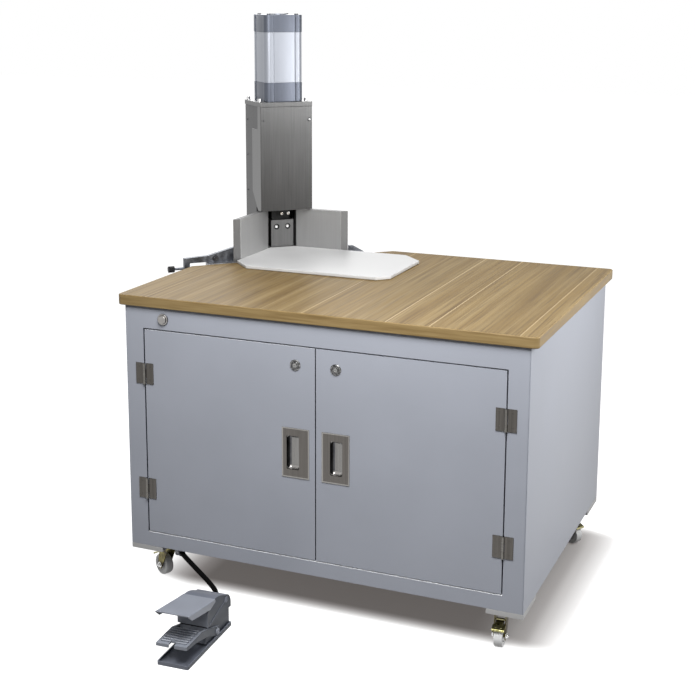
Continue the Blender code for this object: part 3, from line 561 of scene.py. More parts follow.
def oakLaminate(values):
    # strips that run from front to back, each with its own tone, and grain drawn out along them
    finish, tree, shader, place = startFinish("oakTop", values["mid"], 0.42, shine=values["shine"])
    split = addNode(tree, "SeparateXYZ", {"Vector": place})
    across = reckon(tree, "DIVIDE", split.outputs["X"], values["stripWide"])
    chance = tree.nodes.new("ShaderNodeTexWhiteNoise")
    chance.noise_dimensions = "1D"
    tree.links.new(reckon(tree, "FLOOR", across), chance.inputs["W"])
    moved = addNode(tree, "VectorMath", {0: place, 1: chance.outputs["Color"]}, "ADD").outputs[0]
    slow = noise(tree, stretched(tree, moved, values["slowGrain"]), 1.0, 5, 0.66)
    fine = noise(tree, stretched(tree, moved, values["fineGrain"]), 1.0, 4, 0.65)
    colours = (values["deep"], values["mid"], values["pale"])
    tone = ramp(tree, slow, list(zip(values["grainStops"], colours)))
    strips = ramp(tree, chance.outputs["Value"], values["stripTones"])
    tone = blendColours(tree, 1.0, tone, strips, "MULTIPLY")
    tone = blendColours(tree, values["poreShare"], tone, ramp(tree, fine, values["pores"]), "MULTIPLY")
    atSeam = reckon(tree, "LESS_THAN", reckon(tree, "FRACT", across), values["seamShare"])
    faint = reckon(tree, "MULTIPLY", atSeam, chance.outputs["Value"])
    tone = blendColours(tree, faint, tone, values["seam"])
    feed(tree, shader, {"Base Color": tone, "Roughness": remap(tree, fine, *values["roughness"])})
    bump(tree, shader, fine, *values["bump"])
    return finish


bandValues = {
    "tones": [(0.3, (0.185, 0.120, 0.045)), (0.7, (0.305, 0.216, 0.096))],
    "slowGrain": (6, 6, 120),
    "fineGrain": (40, 40, 500),
    "roughness": (0.34, 0.48),
    "shine": 0.25,
    "bump": (0.15, 0.0003),
}


def edgeBand(values):
    finish, tree, shader, place = startFinish("oakEdge", (0.30, 0.205, 0.09), 0.45, shine=values["shine"])
    slow = noise(tree, stretched(tree, place, values["slowGrain"]), 1.0, 4)
    fine = noise(tree, stretched(tree, place, values["fineGrain"]), 1.0, 3)
    tone = ramp(tree, slow, values["tones"])
    feed(tree, shader, {"Base Color": tone, "Roughness": remap(tree, slow, *values["roughness"])})
    bump(tree, shader, fine, *values["bump"])
    return finish


bluePaint = powderCoat("cabinetPaint", (0.385, 0.405, 0.46))
# near black paint: painted shade in the gaps round the doors
shadedPaint = powderCoat("shadedPaint", (0.020, 0.024, 0.036), roughness=0.6)
# near white paint: painted highlights on the opening's sill and the doors' top edges
edgePaint = powderCoat("edgePaint", (0.86, 0.87, 0.89), roughness=0.35)
oakTop = oakLaminate(oakValues)
oakEdge = edgeBand(bandValues)
# painted shade: the brushed cover and top plate darker towards the bottom
coverPaintedShadeStops = [(1.0, 0.46), (1.1, 0.52), (1.24, 0.62), (1.34, 0.86), (1.42, 1.0)]
coverSteel = brushedMetal("coverSteel", (0.160, 0.160, 0.160), 0.36, contrast=0.26, fade=coverPaintedShadeStops)
# a lighter copy of the cover steel without the darkening: painted light on the cover's side wings
wingSteel = brushedMetal("wingSteel", (0.165, 0.165, 0.165), 0.36, contrast=0.2)
columnSteel = brushedMetal("columnSteel", (0.070, 0.070, 0.071), 0.36)
plateSteel = brushedMetal("plateSteel", (0.34, 0.335, 0.325), 0.33, "X")
fenceSteel = brushedMetal("fenceSteel", (0.36, 0.36, 0.36), 0.46, contrast=0.10)
# a lighter copy of the fence steel for the left fence: painted light
paleFence = brushedMetal("paleFence", (0.50, 0.50, 0.50), 0.46, contrast=0.10)
# a darker copy for the fences' ends and tops: painted shade
fenceEdge = brushedMetal("fenceEdge", (0.17, 0.17, 0.17), 0.5, contrast=0.10)
groundSteel = brushedMetal("groundSteel", (0.135, 0.135, 0.135), 0.40, contrast=0.2)
hingeSteel = brushedMetal("hingeSteel", (0.088, 0.082, 0.075), 0.36, contrast=0.42)
# a lighter copy of the hinge steel: painted highlight on the knuckles
knuckleSteel = brushedMetal("knuckleSteel", (0.15, 0.143, 0.132), 0.3, "X", contrast=0.4)
pullSteel = brushedMetal("pullSteel", (0.118, 0.110, 0.102), 0.34, contrast=0.24)
# lighter copies of the pull steel: painted highlights on the rim and at the cup's foot, painted light on the
# cup's floor
pullRim = brushedMetal("pullRim", (0.27, 0.262, 0.25), 0.3, contrast=0.3)
cupSteel = brushedMetal("cupSteel", (0.20, 0.196, 0.19), 0.26, contrast=0.35)
cupEnd = brushedMetal("cupEnd", (0.28, 0.27, 0.26), 0.22, "X")
barrelMetal = brushedMetal("barrelMetal", (0.30, 0.315, 0.35), 0.42, contrast=0.03, depth=0.08)
capMetal = brushedMetal("capMetal", (0.112, 0.122, 0.148), 0.38, contrast=0.06, depth=0.08)
armTones = [(0.3, (0.075, 0.08, 0.092)), (0.7, (0.17, 0.18, 0.20))]
armPaint = cloudyMetal("armPaint", armTones, 0.4, scale=60, depth=0.3)
brightChrome = cloudyMetal("brightChrome", [(0.3, (0.60, 0.60, 0.60)), (0.7, (0.74, 0.74, 0.74))], 0.14)
# near black steel for painted shade: the ram above its block and in its bores, rings round the bores, the
# pulls' walls and the pedal's slit
darkRing = cloudyMetal("darkRing", [(0.3, (0.012, 0.012, 0.012)), (0.7, (0.03, 0.03, 0.03))], 0.45)
# black steel for screws and bolts, and also painted shade in the lock's groove, on the button bezel's side
# and in the pulls' cups
blackSteel = cloudyMetal("blackSteel", [(0.3, (0.05, 0.05, 0.055)), (0.7, (0.10, 0.10, 0.105))], 0.38)
greySteel = cloudyMetal("greySteel", [(0.3, (0.24, 0.24, 0.25)), (0.7, (0.32, 0.32, 0.33))], 0.42)
satinTones = [(0.3, (0.17, 0.17, 0.168)), (0.7, (0.34, 0.34, 0.335))]
satinChrome = cloudyMetal("satinChrome", satinTones, 0.2, scale=260)
lockTones = [(0.42, (0.05, 0.05, 0.05)), (0.58, (0.27, 0.27, 0.265))]
lockChrome = cloudyMetal("lockChrome", lockTones, 0.2, scale=170)
buttonSteel = cloudyMetal("buttonSteel", [(0.3, (0.27, 0.26, 0.25)), (0.7, (0.34, 0.33, 0.32))], 0.34)
zincTones = [
    (0.30, (0.10, 0.085, 0.03)), (0.44, (0.34, 0.32, 0.13)),
    (0.56, (0.40, 0.37, 0.22)), (0.70, (0.20, 0.19, 0.07)),
]
zincPlate = cloudyMetal("zincPlate", zincTones, 0.28, scale=48)
forkTones = [(0.32, (0.022, 0.018, 0.010)), (0.5, (0.085, 0.070, 0.024)), (0.66, (0.20, 0.18, 0.07))]
zincDark = cloudyMetal("zincDark", forkTones, 0.3, scale=52)
wheelTread = mouldedPlastic("wheelTread", (0.92, 0.925, 0.93), 0.34)
padPaint = powderCoat("padPaint", (0.50, 0.50, 0.50), 500, 0.5)
boardWhite = mouldedPlastic(
    "boardWhite", (0.54, 0.54, 0.54), 0.45, grain=400, depth=0.2, cloudShare=0.02, shine=0.3
)
pedalPaint = mouldedPlastic("pedalPaint", (0.145, 0.157, 0.192), 0.46, grain=600, depth=0.3)
# a darker copy of the pedal paint: painted shade on the pedal's right sides
pedalShade = mouldedPlastic("pedalShade", (0.052, 0.059, 0.074), 0.5, grain=600, depth=0.3, shine=0.3)
treadlePaint = mouldedPlastic("treadlePaint", (0.25, 0.268, 0.312), 0.44, grain=600, depth=0.3)
# a lighter copy of the treadle paint: painted highlight on the ribs' tops
ribPaint = mouldedPlastic("ribPaint", (0.42, 0.44, 0.49), 0.44, grain=600, depth=0.25)
# the guard's own paint, also painted light on the housing's front under the guard
guardPaint = mouldedPlastic("guardPaint", (0.26, 0.277, 0.32), 0.44, grain=600, depth=0.25)
blackRubber = mouldedPlastic(
    "blackRubber", (0.004, 0.004, 0.004), 0.7, grain=700, depth=0.1, shine=0.02
)
blackPlastic = mouldedPlastic("blackPlastic", (0.014, 0.014, 0.015), 0.42, grain=500, shine=0.15)
hose.data.materials.append(blackRubber)
print("finishes mixed")


# nodes whose own solids have the right shape: each gets a softened copy in its finish
plainCopies = {
    # node: (piece, finish, slot, edge radius, segments)
    "front_frame": ("frontFrame", bluePaint, "blue_grey_paint", 0.0021, 3),
    "left_side_panel": ("leftSide", bluePaint, "blue_grey_paint", 0.0007, 1),
    "right_side_panel": ("rightSide", bluePaint, "blue_grey_paint", 0.0007, 1),
    "back_panel": ("backSheet", bluePaint, "blue_grey_paint", 0.0008, 2),
    "floor_panel": ("floorSheet", bluePaint, "blue_grey_paint", 0.0006, 1),
    "top_panel": ("topSheet", bluePaint, "blue_grey_paint", 0.0006, 1),
    "left_door": ("leftDoor", bluePaint, "blue_grey_paint", 0.0021, 3),
    "right_door": ("rightDoor", bluePaint, "blue_grey_paint", 0.0021, 3),
    "cutting_plate": ("cuttingPlate", boardWhite, "white_plate", 0.0022, 3),
    "tower_top_plate": ("towerTopPlate", coverSteel, "brushed_steel", 0.0012, 2),
    "piston_rod": ("pistonRod", brightChrome, "chrome", 0.0008, 2),
    "corner_blade": ("cornerBlade", plateSteel, "brushed_steel", 0.0002, 1),
    "lower_die": ("lowerDie", plateSteel, "brushed_steel", 0.0004, 1),
}
hingeLeaves = []
for side in ("left", "right"):
    plainCopies[side + "_lock_plug"] = (side + "LockPlug", satinChrome, "dark_steel", 0.0003, 2)
    for level in ("upper", "lower"):
        for leaf in ("frame", "door"):
            node = f"{side}_{level}_{leaf}_leaf"
            hingeLeaves.append((side, node))
            plainCopies[node] = (pieceWord(node), hingeSteel, "brushed_steel", 0.0003, 2)
for spot in ("front_left", "front_right", "rear_right", "rear_left"):
    plainCopies[spot + "_caster_pad"] = (pieceWord(spot) + "Pad", padPaint, "brushed_steel", 0.0008, 2)

bodyOf = {
    member: body for body, members in frame["record"]["behaviour"]["bodies"].items() for member in members
}
dressed = {}
for node, (name, finish, slotName, width, segments) in plainCopies.items():
    piece = softened(nodeCopy(node, name), width, segments)
    dressed[node] = finished(piece, bodyOf[node], slotName, finish, node)

# the cabinet's front, measured from its lower left corner
frontValues = {
    "opening": (0.057, 1.103, 0.168, 0.768),
    "hingeAxes": {"left": 0.0585, "right": 1.1015},
    "across": {"left": 0.5215, "right": 0.6385},  # middles of the locks and pulls
}
gapValues = {
    "edge": 0.0024,
    "deep": 0.0215,
    "doorTop": 0.765,
    "doorFlattest": 0.99,
    "frontTurn": -0.985,
    "upTurn": 0.2,
    "sideTurn": 0.25,
    "knuckleHalf": 0.0043,
}


def nearFront(place):
    return place.y - corner.y < gapValues["deep"]


def besideOpening(place, normal):
    # the opening's side and upper edges and walls, painted dark as shade
    x0, x1, z0, z1 = frontValues["opening"]
    edge, x = gapValues["edge"], place.x - corner.x
    inside = x0 - edge < x < x1 + edge and z0 - edge < place.z < z1 + edge
    turned = normal.y > gapValues["frontTurn"] and normal.z < gapValues["upTurn"]
    return inside and turned and nearFront(place)


def paintedHighlightEdge(high, flattest=1.1):
    # the upward edge at one height, painted bright as a highlight
    def test(place, normal):
        near = abs(place.z - high) < gapValues["edge"] and nearFront(place)
        return near and gapValues["upTurn"] < normal.z < flattest
    return test


def doorSides(hand):
    # the door's edges towards the middle gap, painted dark as shade
    return lambda place, normal: hand * normal.x > gapValues["sideTurn"] and nearFront(place)


# the hinge's knuckle, painted lighter as a highlight
def knuckle(side):
    middle = corner.x + frontValues["hingeAxes"][side]
    return lambda place, normal: abs(place.x - middle) < gapValues["knuckleHalf"]


# painted highlights along the sill and the doors' top edges
sill = paintedHighlightEdge(frontValues["opening"][2])
doorTop = paintedHighlightEdge(gapValues["doorTop"], gapValues["doorFlattest"])
zoned(dressed["front_frame"], (shadedPaint, besideOpening), (edgePaint, sill))
for side, hand in (("left", 1), ("right", -1)):
    zoned(dressed[side + "_door"], (edgePaint, doorTop), (shadedPaint, doorSides(hand)))
for side, node in hingeLeaves:
    zoned(dressed[node], (knuckleSteel, knuckle(side)))
print("plain pieces dressed:", len(dressed))


# tabletop
tableValues = {
    "edgeRadius": 0.003,
    "segments": 3,
    "cornerRadius": 0.014,
    "cornerSegments": 7,
    "near": 0.001,
    "faceTurn": 0.75,
}


def tabletop(values):
    top = nodeCopy("tabletop", "oakTabletop")
    low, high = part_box("tabletop")

    def atCorner(middle, direction):
        atSide = min(abs(middle.x - low.x), abs(middle.x - high.x)) < values["near"]
        atEnd = min(abs(middle.y - low.y), abs(middle.y - high.y)) < values["near"]
        return abs(direction.z) > straight and atSide and atEnd

    def onEdge(place, normal):
        return abs(normal.z) <= values["faceTurn"]

    roundEdges(top, atCorner, values["cornerRadius"], values["cornerSegments"])
    softened(top, values["edgeRadius"], values["segments"])
    zoned(finished(top, "cabinet", "oak_laminate", oakTop, "tabletop"), (oakEdge, onEdge))


tabletop(tableValues)
print("tabletop laid")


# press: its own frame has x along the tower's front and y away from the worktop
pressValues = {"place": (0.0885, 0.794, 0), "turn": radians(45), "cylinderForward": 0.016}
pressFrame = Matrix.Translation(corner + Vector(pressValues["place"])) @ Matrix.Rotation(
    pressValues["turn"], 4, "Z"
)
axisFrame = pressFrame @ Matrix.Translation((0, -pressValues["cylinderForward"], 0))
toPress = pressFrame.inverted()


def facing(point, direction, turn=0.0):
    # a place whose z axis points along the direction
    aim = Vector(direction).to_track_quat("Z", "Y").to_matrix().to_4x4()
    return Matrix.Translation(point) @ aim @ Matrix.Rotation(turn, 4, "Z")


def towardsWork(x, y, z, turn=0.0):
    # a place on the press, with its z axis pointing to the worktop
    return pressFrame @ facing((x, y, z), (0, -1, 0), turn)


# screws: sizes are shares of the head's radius or height
screwValues = {
    "sides": 28,
    "socketEdge": 0.09,
    "socketWasher": 1.4,
    "domeTop": 0.62,
    "domeEdge": 0.45,
    "domeSegments": 4,
    "cross": (0.2, 1.1),
    "crossFloor": 0.4,
    "boltInset": 0.12,
    "boltRise": 0.08,
    "boltEdge": 0.05,
    "boltWasher": 1.35,
    "washerEdge": 0.3,
}
chromeScrew = ("chrome", brightChrome)
blackScrew = ("dark_steel", blackSteel)


def onWasher(screw, radius, thick):
    if not thick:
        return screw
    washer = addRound("washer", (0, 0, thick / 2), radius, thick, screwValues["sides"])
    return fused(screw.name, screw, softened(washer, thick * screwValues["washerEdge"], 2))


def socketScrew(radius, high, socket, washer=0.0):
    screw = addRound("socketScrew", (0, 0, washer + high / 2), radius, high, screwValues["sides"])
    cutWith(screw, addRound("hexagon", (0, 0, washer + high), socket, high, 6))
    softened(screw, radius * screwValues["socketEdge"], 2)
    return onWasher(screw, radius * screwValues["socketWasher"], washer)


def domeScrew(radius, high):
    screw = addRound("domeScrew", (0, 0, high / 2), radius, high, screwValues["sides"])
    pick(screw, facingUp)
    bpy.ops.transform.resize(value=(screwValues["domeTop"], screwValues["domeTop"], 1))
    leaveEdit()
    applied(
        screw, "BEVEL", width=high * screwValues["domeEdge"], segments=screwValues["domeSegments"],
        limit_method="ANGLE", angle_limit=radians(30),
    )
    narrow, long = screwValues["cross"]
    for wide, deep in ((narrow, long), (long, narrow)):
        x, y = wide * radius / 2, deep * radius / 2
        cutWith(screw, addBox("slot", (-x, -y, high * screwValues["crossFloor"]), (x, y, high * 2)))
    return smoothed(screw)


def hexBolt(radius, high, washer=0.0):
    bolt = addRound("hexBolt", (0, 0, washer + high / 2), radius, high, 6)
    pick(bolt, facingUp)
    bpy.ops.mesh.inset(thickness=radius * screwValues["boltInset"])
    bpy.ops.transform.translate(value=(0, 0, radius * screwValues["boltRise"]))
    leaveEdit()
    softened(bolt, radius * screwValues["boltEdge"], 2)
    return onWasher(bolt, radius * screwValues["boltWasher"], washer)


def planted(master, name, place, body, slotName, finish):
    # a copy with its own mesh, put where the place says
    return finished(settle(newObject(name, master.data.copy()), place), body, slotName, finish)


def plantAll(master, prefix, places, body, slotName, finish):
    for i, place in enumerate(places):
        planted(master, prefix + str(i + 1), place, body, slotName, finish)
    bpy.data.objects.remove(master)


cylinderValues = {
    "half": 0.0638,
    "post": 0.018,
    "slot": (0.0348, 0.0378),
    "slotDeep": 0.0026,
    "bow": 0.0016,
    "bowSteps": 10,
    "cornerSteps": 8,
    "heights": (1.3453, 1.4053, 1.5633, 1.617),
    "barrelShare": 0.984,
    "bore": 0.056,
    "rodBore": 0.0168,
    "discRadius": 0.029,
    "discHigh": 0.0038,
    "discSink": 0.0005,
    "discInset": 0.3,
    "discDish": 0.5,
    "edgeRadius": 0.0009,
    "sharpAngle": 50,
    "tieScrew": (0.0062, 0.0034, 0.0034),
    "portPlug": (0.0085, 0.002, 0.0045),
    "portOut": 0.0002,
    "portsFromEnds": (0.03, 0.024),
}


def cylinderOutline(values, share=1.0):
    # four sides, each with a slightly bowed middle between two slots, and a rounded post at each corner
    half, post = values["half"], values["post"]
    inner, outer = values["slot"]
    side = [(half, -(half - post)), (half, -outer), (half - values["slotDeep"], -outer)]
    side.append((half - values["slotDeep"], -inner))
    for i in range(values["bowSteps"] + 1):
        y = -inner + 2 * inner * i / values["bowSteps"]
        side.append((half - values["bow"] * (y / inner) ** 2, y))
    side += [(x, -y) for x, y in reversed(side[:4])]
    for i in range(1, values["cornerSteps"]):
        turn = pi / 2 * i / values["cornerSteps"]
        side.append((half - post + post * cos(turn), half - post + post * sin(turn)))
    outline = []
    for quarter in range(4):
        turn = Matrix.Rotation(quarter * pi / 2, 2)
        outline += [tuple(turn @ Vector(point) * share) for point in side]
    return outline


def cylinderDisc(values, top):
    # a shallow dished disc on the upper cap
    high, radius = values["discHigh"], values["discRadius"]
    disc = addRound("disc", (0, 0, top + high / 2 - values["discSink"]), radius, high, 56)
    pick(disc, facingUp)
    bpy.ops.mesh.inset(thickness=radius * values["discInset"])
    bpy.ops.transform.translate(value=(0, 0, -high * values["discDish"]))
    leaveEdit()
    return softened(disc, values["discSink"], 2)


def airCylinder(values):
    foot, lowCap, barrelTop, top = values["heights"]
    edge, sharp = values["edgeRadius"], values["sharpAngle"]
    lower = addOutline("lowerCap", cylinderOutline(values), foot, lowCap - clearance)
    cutWith(lower, addRound("bore", (0, 0, foot), values["rodBore"], 1, 40))
    softened(lower, edge, 2, sharp)
    finished(settle(lower, axisFrame), "cabinet", "cylinder_grey", capMetal, "cylinder_lower_cap")
    outline = cylinderOutline(values, values["barrelShare"])
    barrel = addOutline("barrel", outline, lowCap, barrelTop - clearance)
    cutWith(barrel, addRound("bore", (0, 0, lowCap), values["bore"], 1, 72))
    softened(barrel, edge / 3, 1, sharp)
    finished(settle(barrel, axisFrame), "cabinet", "aluminium", barrelMetal, "cylinder_barrel")
    upper = softened(addOutline("upperCap", cylinderOutline(values), barrelTop, top), edge, 2, sharp)
    upper = fused("upperCap", upper, cylinderDisc(values, top))
    finished(settle(upper, axisFrame), "cabinet", "cylinder_grey", capMetal, "cylinder_upper_cap")
    spread = values["half"] - values["post"]
    spots = [(x * spread, y * spread, top) for x, y in ((-1, -1), (1, -1), (1, 1), (-1, 1))]
    places = [axisFrame @ Matrix.Translation(spot) for spot in spots]
    plantAll(socketScrew(*values["tieScrew"]), "tieRodScrew", places, "cabinet", *blackScrew)
    back = values["half"] + values["portOut"]
    aboveFoot, belowTop = values["portsFromEnds"]
    ports = [axisFrame @ facing((0, back, z), (0, 1, 0)) for z in (foot + aboveFoot, top - belowTop)]
    plantAll(socketScrew(*values["portPlug"]), "portPlug", ports, "cabinet", *chromeScrew)


airCylinder(cylinderValues)
print("air cylinder built")


towerValues = {
    "foldPast": (0.087, -0.0949),
    "foldRadius": 0.0032,
    "foldSegments": 5,
    "edgeRadius": 0.0005,
    "sharpAngle": 50,
    "wingTurn": 0.7,
    "columnEdge": 0.001,
    "topScrews": ((-0.0785, -0.060), (0.0785, -0.060), (0.0785, 0.052), (-0.0785, 0.052)),
    "topScrew": (0.0060, 0.0085, 0.0030, 0.0014),
    "topHigh": 1.345,
    "front": -0.095,
    "frontScrews": ((-0.0773, 1.288, 0.0026), (0.0775, 1.288, 0.0044)),
    "domeHigh": 0.8,
    "washerWide": 1.45,
    "washerThick": 0.0012,
    "washerEdge": 0.0003,
    "columnHalf": 0.0855,
    "sideScrew": (0.0032, 0.0019),
    "sideScrews": (1.282, 1.168, 1.052),
    "sideScrewBack": 0.043,
}


def towerCover(values):
    cover = nodeCopy("tower_cover", "towerCover")

    def atFold(middle, direction):
        place = toPress @ middle
        past, front = values["foldPast"]
        return abs(direction.z) > straight and place.y < front and abs(place.x) > past

    # the side wings are painted lighter, as light
    def onWing(place, normal):
        return abs((toPress.to_3x3() @ normal).x) > values["wingTurn"]

    roundEdges(cover, atFold, values["foldRadius"], values["foldSegments"])
    softened(cover, values["edgeRadius"], 2, values["sharpAngle"])
    zoned(finished(cover, "cabinet", "brushed_steel", coverSteel, "tower_cover"), (wingSteel, onWing))


def pressColumn(values):
    column = softened(nodeCopy("press_column", "pressColumn"), values["columnEdge"], 2)
    finished(column, "cabinet", "brushed_steel", columnSteel, "press_column")


def towerScrews(values):
    spots = [pressFrame @ Matrix.Translation((x, y, values["topHigh"])) for x, y in values["topScrews"]]
    plantAll(socketScrew(*values["topScrew"]), "topPlateScrew", spots, "cabinet", *chromeScrew)
    (smallX, smallHigh, small), (largeX, largeHigh, large) = values["frontScrews"]
    smallPlace = towardsWork(smallX, values["front"], smallHigh)
    largePlace = towardsWork(largeX, values["front"], largeHigh)
    smallScrew = domeScrew(small, small * values["domeHigh"])
    plantAll(smallScrew, "coverScrewA", [smallPlace], "cabinet", *blackScrew)
    thick = values["washerThick"]
    washer = addRound("washer", (0, 0, thick / 2), large * values["washerWide"], thick, 32)
    softened(washer, values["washerEdge"], 2)
    plantAll(washer, "coverWasher", [largePlace], "cabinet", *blackScrew)
    raised = largePlace @ Matrix.Translation((0, 0, thick))
    plantAll(domeScrew(large, large * values["domeHigh"]), "coverScrewB", [raised], "cabinet", *chromeScrew)
    sides = []
    for hand in (-1, 1):
        for z in values["sideScrews"]:
            point = (hand * values["columnHalf"], values["sideScrewBack"], z)
            sides.append(pressFrame @ facing(point, (hand, 0, 0)))
    plantAll(domeScrew(*values["sideScrew"]), "columnScrew", sides, "cabinet", *blackScrew)


towerCover(towerValues)
pressColumn(towerValues)
towerScrews(towerValues)
print("tower built")


ramValues = {
    "edgeRadius": 0.0006,
    "blockTop": 0.9605,
    "blockFront": -0.0474,
    "boreAcross": 0.019,
    "boreHigh": 0.938,
    "boreHalf": 0.0095,
    "boreEnd": -0.02,
    "boreDeep": 0.036,
    "boreTurn": 0.2,
    "boreScrew": (0.0053, 0.0085, 0.0030),
    "ring": (
        (0.0064, -0.0004), (0.0102, -0.0004), (0.0102, 0.0003), (0.0096, 0.0006), (0.0071, 0.0006),
        (0.0064, 0.0002),
    ),
    "neckFront": 0.030,
    "neckScrews": (0.003, 0.025),
    "neckHigh": 0.978,
    "neckScrew": (0.0050, 0.006, 0.0021),
}


def ram(values):
    # a ground holder block at the foot; above it and in its bores the steel is painted near black as shade
    across, high, front = values["boreAcross"], values["boreHigh"], values["blockFront"]

    def onBlock(place, normal):
        place = toPress @ place
        sunk = front < place.y < values["boreEnd"] and abs(abs(place.x) - across) < values["boreHalf"]
        return place.z < values["blockTop"] and not sunk

    block = softened(nodeCopy("ram", "bladeRam"), values["edgeRadius"], 2)
    zoned(finished(block, "ram_body", "dark_steel", darkRing, "ram"), (groundSteel, onBlock))
    bores = [towardsWork(hand * across, -values["boreDeep"], high, values["boreTurn"]) for hand in (-1, 1)]
    plantAll(socketScrew(*values["boreScrew"]), "holderScrew", bores, "ram_body", *chromeScrew)
    # dark rings round the bores: painted shadow
    rings = [towardsWork(hand * across, front, high) for hand in (-1, 1)]
    plantAll(spun("ring", values["ring"], 40), "boreRing", rings, "ram_body", "dark_steel", darkRing)
    necks = [towardsWork(x, -values["neckFront"], values["neckHigh"]) for x in values["neckScrews"]]
    plantAll(socketScrew(*values["neckScrew"]), "neckScrew", necks, "ram_body", *chromeScrew)


ram(ramValues)
print("ram built")


fenceValues = {"edgeRadius": 0.0007, "sawnTurn": 0.6}


def fence(values, node, endAxis, finish):
    # ends and tops in a darker copy of the fence steel, painted shade
    def endsAndTops(place, normal):
        return max(abs(normal[endAxis]), normal.z) > values["sawnTurn"]

    piece = softened(nodeCopy(node, pieceWord(node)), values["edgeRadius"], 2)
    zoned(finished(piece, "cabinet", "brushed_steel", finish, node), (fenceEdge, endsAndTops))


fence(fenceValues, "left_fence", 1, paleFence)
fence(fenceValues, "right_fence", 0, fenceSteel)


bedValues = {
    "edgeRadius": 0.0012,
    "armDepths": (-0.1665, -0.1475),
    "armAbove": 0.8602,
    "armPast": (-0.29, 0.2),
    "armBolt": (-0.262, -0.164, 0.872),
    "boltSize": (0.0075, 0.005, 0.0015),
    "boltTurn": 0.3,
    "knobEnd": -0.4115,
    "knobStart": -0.3925,
    "knobSeat": 0.0005,
    "knobPlace": (-0.157, 0.846),
    "knobRadius": 0.0098,
    "knobRibs": 18,
    "ribDeep": 0.0009,
    "knobEdge": 0.0004,
}


def pressBed(values):
    bed = nodeCopy("press_bed", "pressBed")
    editAll(bed)
    bpy.ops.mesh.bisect(
        plane_co=pressFrame @ Vector((values["knobStart"] + values["knobSeat"], 0, 0)),
        plane_no=pressFrame.to_3x3() @ Vector((-1, 0, 0)), use_fill=True, clear_outer=True,
    )
    leaveEdit()
    softened(bed, values["edgeRadius"], 2)
    front, back = values["armDepths"]
    left, right = values["armPast"]

    def onArms(place, normal):
        place = toPress @ place
        clear = place.z > values["armAbove"] or place.x < left or place.x > right
        return clear and front < place.y < back

    zoned(finished(bed, "cabinet", "dark_steel", greySteel, "press_bed"), (armPaint, onArms))
    boltPlace = towardsWork(*values["armBolt"], values["boltTurn"])
    plantAll(hexBolt(*values["boltSize"]), "armBolt", [boltPlace], "cabinet", "chrome", blackSteel)


def fenceKnob(values):
    # a ribbed knob on the arm's end, with four points to each rib
    y, z = values["knobPlace"]
    count = values["knobRibs"] * 4
    ribs = []
    for i in range(count):
        turn = 2 * pi * i / count
        reach = values["knobRadius"] - (values["ribDeep"] if i % 4 >= 2 else 0)
        ribs.append((y + reach * cos(turn), z + reach * sin(turn)))
    knob = addOutline("fenceKnob", ribs, values["knobStart"], values["knobEnd"], "X")
    softened(knob, values["knobEdge"], 2)
    finished(settle(knob, pressFrame), "cabinet", "black_rubber", blackPlastic)


pressBed(bedValues)
fenceKnob(bedValues)
print("bed and fences built")


# doors' fittings
def outwards(x, z, back=0.0, turn=0.0):
    # a place on the cabinet's front, with its z axis pointing out of the front
    return facing(corner + Vector((x, back, z)), (0, -1, 0), turn)


lockValues = {
    "high": 0.714,
    "groove": (0.0093, 0.0112),
    "profile": (
        (0.0064, -0.0222), (0.0094, -0.0222), (0.0094, 0.0003), (0.0154, 0.0003), (0.0155, 0.0010),
        (0.0149, 0.0021), (0.0136, 0.0028), (0.0118, 0.0026), (0.0104, 0.0017), (0.0096, 0.0015),
        (0.0089, 0.0017), (0.0082, 0.0026), (0.0070, 0.0028), (0.0064, 0.0024),
    ),
    "steps": 56,
}


def lockBodies(values):
    inner, outer = values["groove"]
    for side, x in frontValues["across"].items():
        centre = corner + Vector((x, 0, values["high"]))

        # the groove is painted black as shade
        def inGroove(place, normal):
            return inner < Vector((place.x - centre.x, place.z - centre.z)).length < outer

        place = outwards(x, values["high"])
        body = settle(spun(side + "LockBody", values["profile"], values["steps"]), place)
        finished(body, side + "_door_body", "chrome", lockChrome, side + "_lock_body")
        zoned(body, (blackSteel, inGroove))


buttonValues = {
    "across": 0.121,
    "high": 0.799,
    "bezel": (
        (0.0091, -0.0215), (0.0109, -0.0215), (0.0109, 0.0003), (0.0159, 0.0003), (0.0160, 0.0036),
        (0.0155, 0.0046), (0.0146, 0.0052), (0.0126, 0.0052), (0.0119, 0.0046), (0.0119, 0.0019),
        (0.0091, 0.0019),
    ),
    "cap": (
        (0.0, -0.0245), (0.0085, -0.0245), (0.0085, 0.0063), (0.0113, 0.0063), (0.0115, 0.0068),
        (0.0115, 0.0086), (0.0108, 0.0095), (0.0090, 0.0098), (0.0, 0.0097),
    ),
    "steps": 56,
    "sideTurn": 0.5,
}


def startButton(values):
    # the bezel's outer side is painted black as shade
    def onSide(place, normal):
        return abs(normal.y) < values["sideTurn"]

    place = outwards(values["across"], values["high"])
    bezel = settle(spun("buttonBezel", values["bezel"], values["steps"]), place)
    zoned(finished(bezel, "cabinet", "chrome", buttonSteel, "button_bezel"), (blackSteel, onSide))
    cap = settle(spun("buttonCap", values["cap"], values["steps"]), place)
    finished(cap, "start_button", "brushed_steel", buttonSteel, "button_cap")


pullValues = {
    "high": 0.469,
    "half": (0.04, 0.07),
    "thick": 0.0015,
    "rim": 0.0032,
    "rimSlope": 0.25,
    "rimSink": 0.0008,
    "rimDeep": 0.002,
    "cupMiddle": -0.002,
    "cupHalf": (0.0245, 0.0475),
    "cupWall": 0.0012,
    "cupStart": 0.7,
    "cupDeep": 0.014,
    "cupRound": 0.0126,
    "cupPast": (0.004, 0.0005, 0.0002),
    "mouth": {"left": (-0.0265, 0.0105), "right": (-0.0160, 0.0195)},
    "mouthDeep": 0.002,
    "mouthRound": 0.004,
    "mouthSegments": 5,
    "hollowPast": 0.003,
    "edgeRadius": 0.00035,
    "sharpAngle": 40,
    "sideTurn": 0.5,
    "wallTurn": 0.55,
    "curveTurns": (0.12, 0.56),
    "endTurn": 0.25,
}


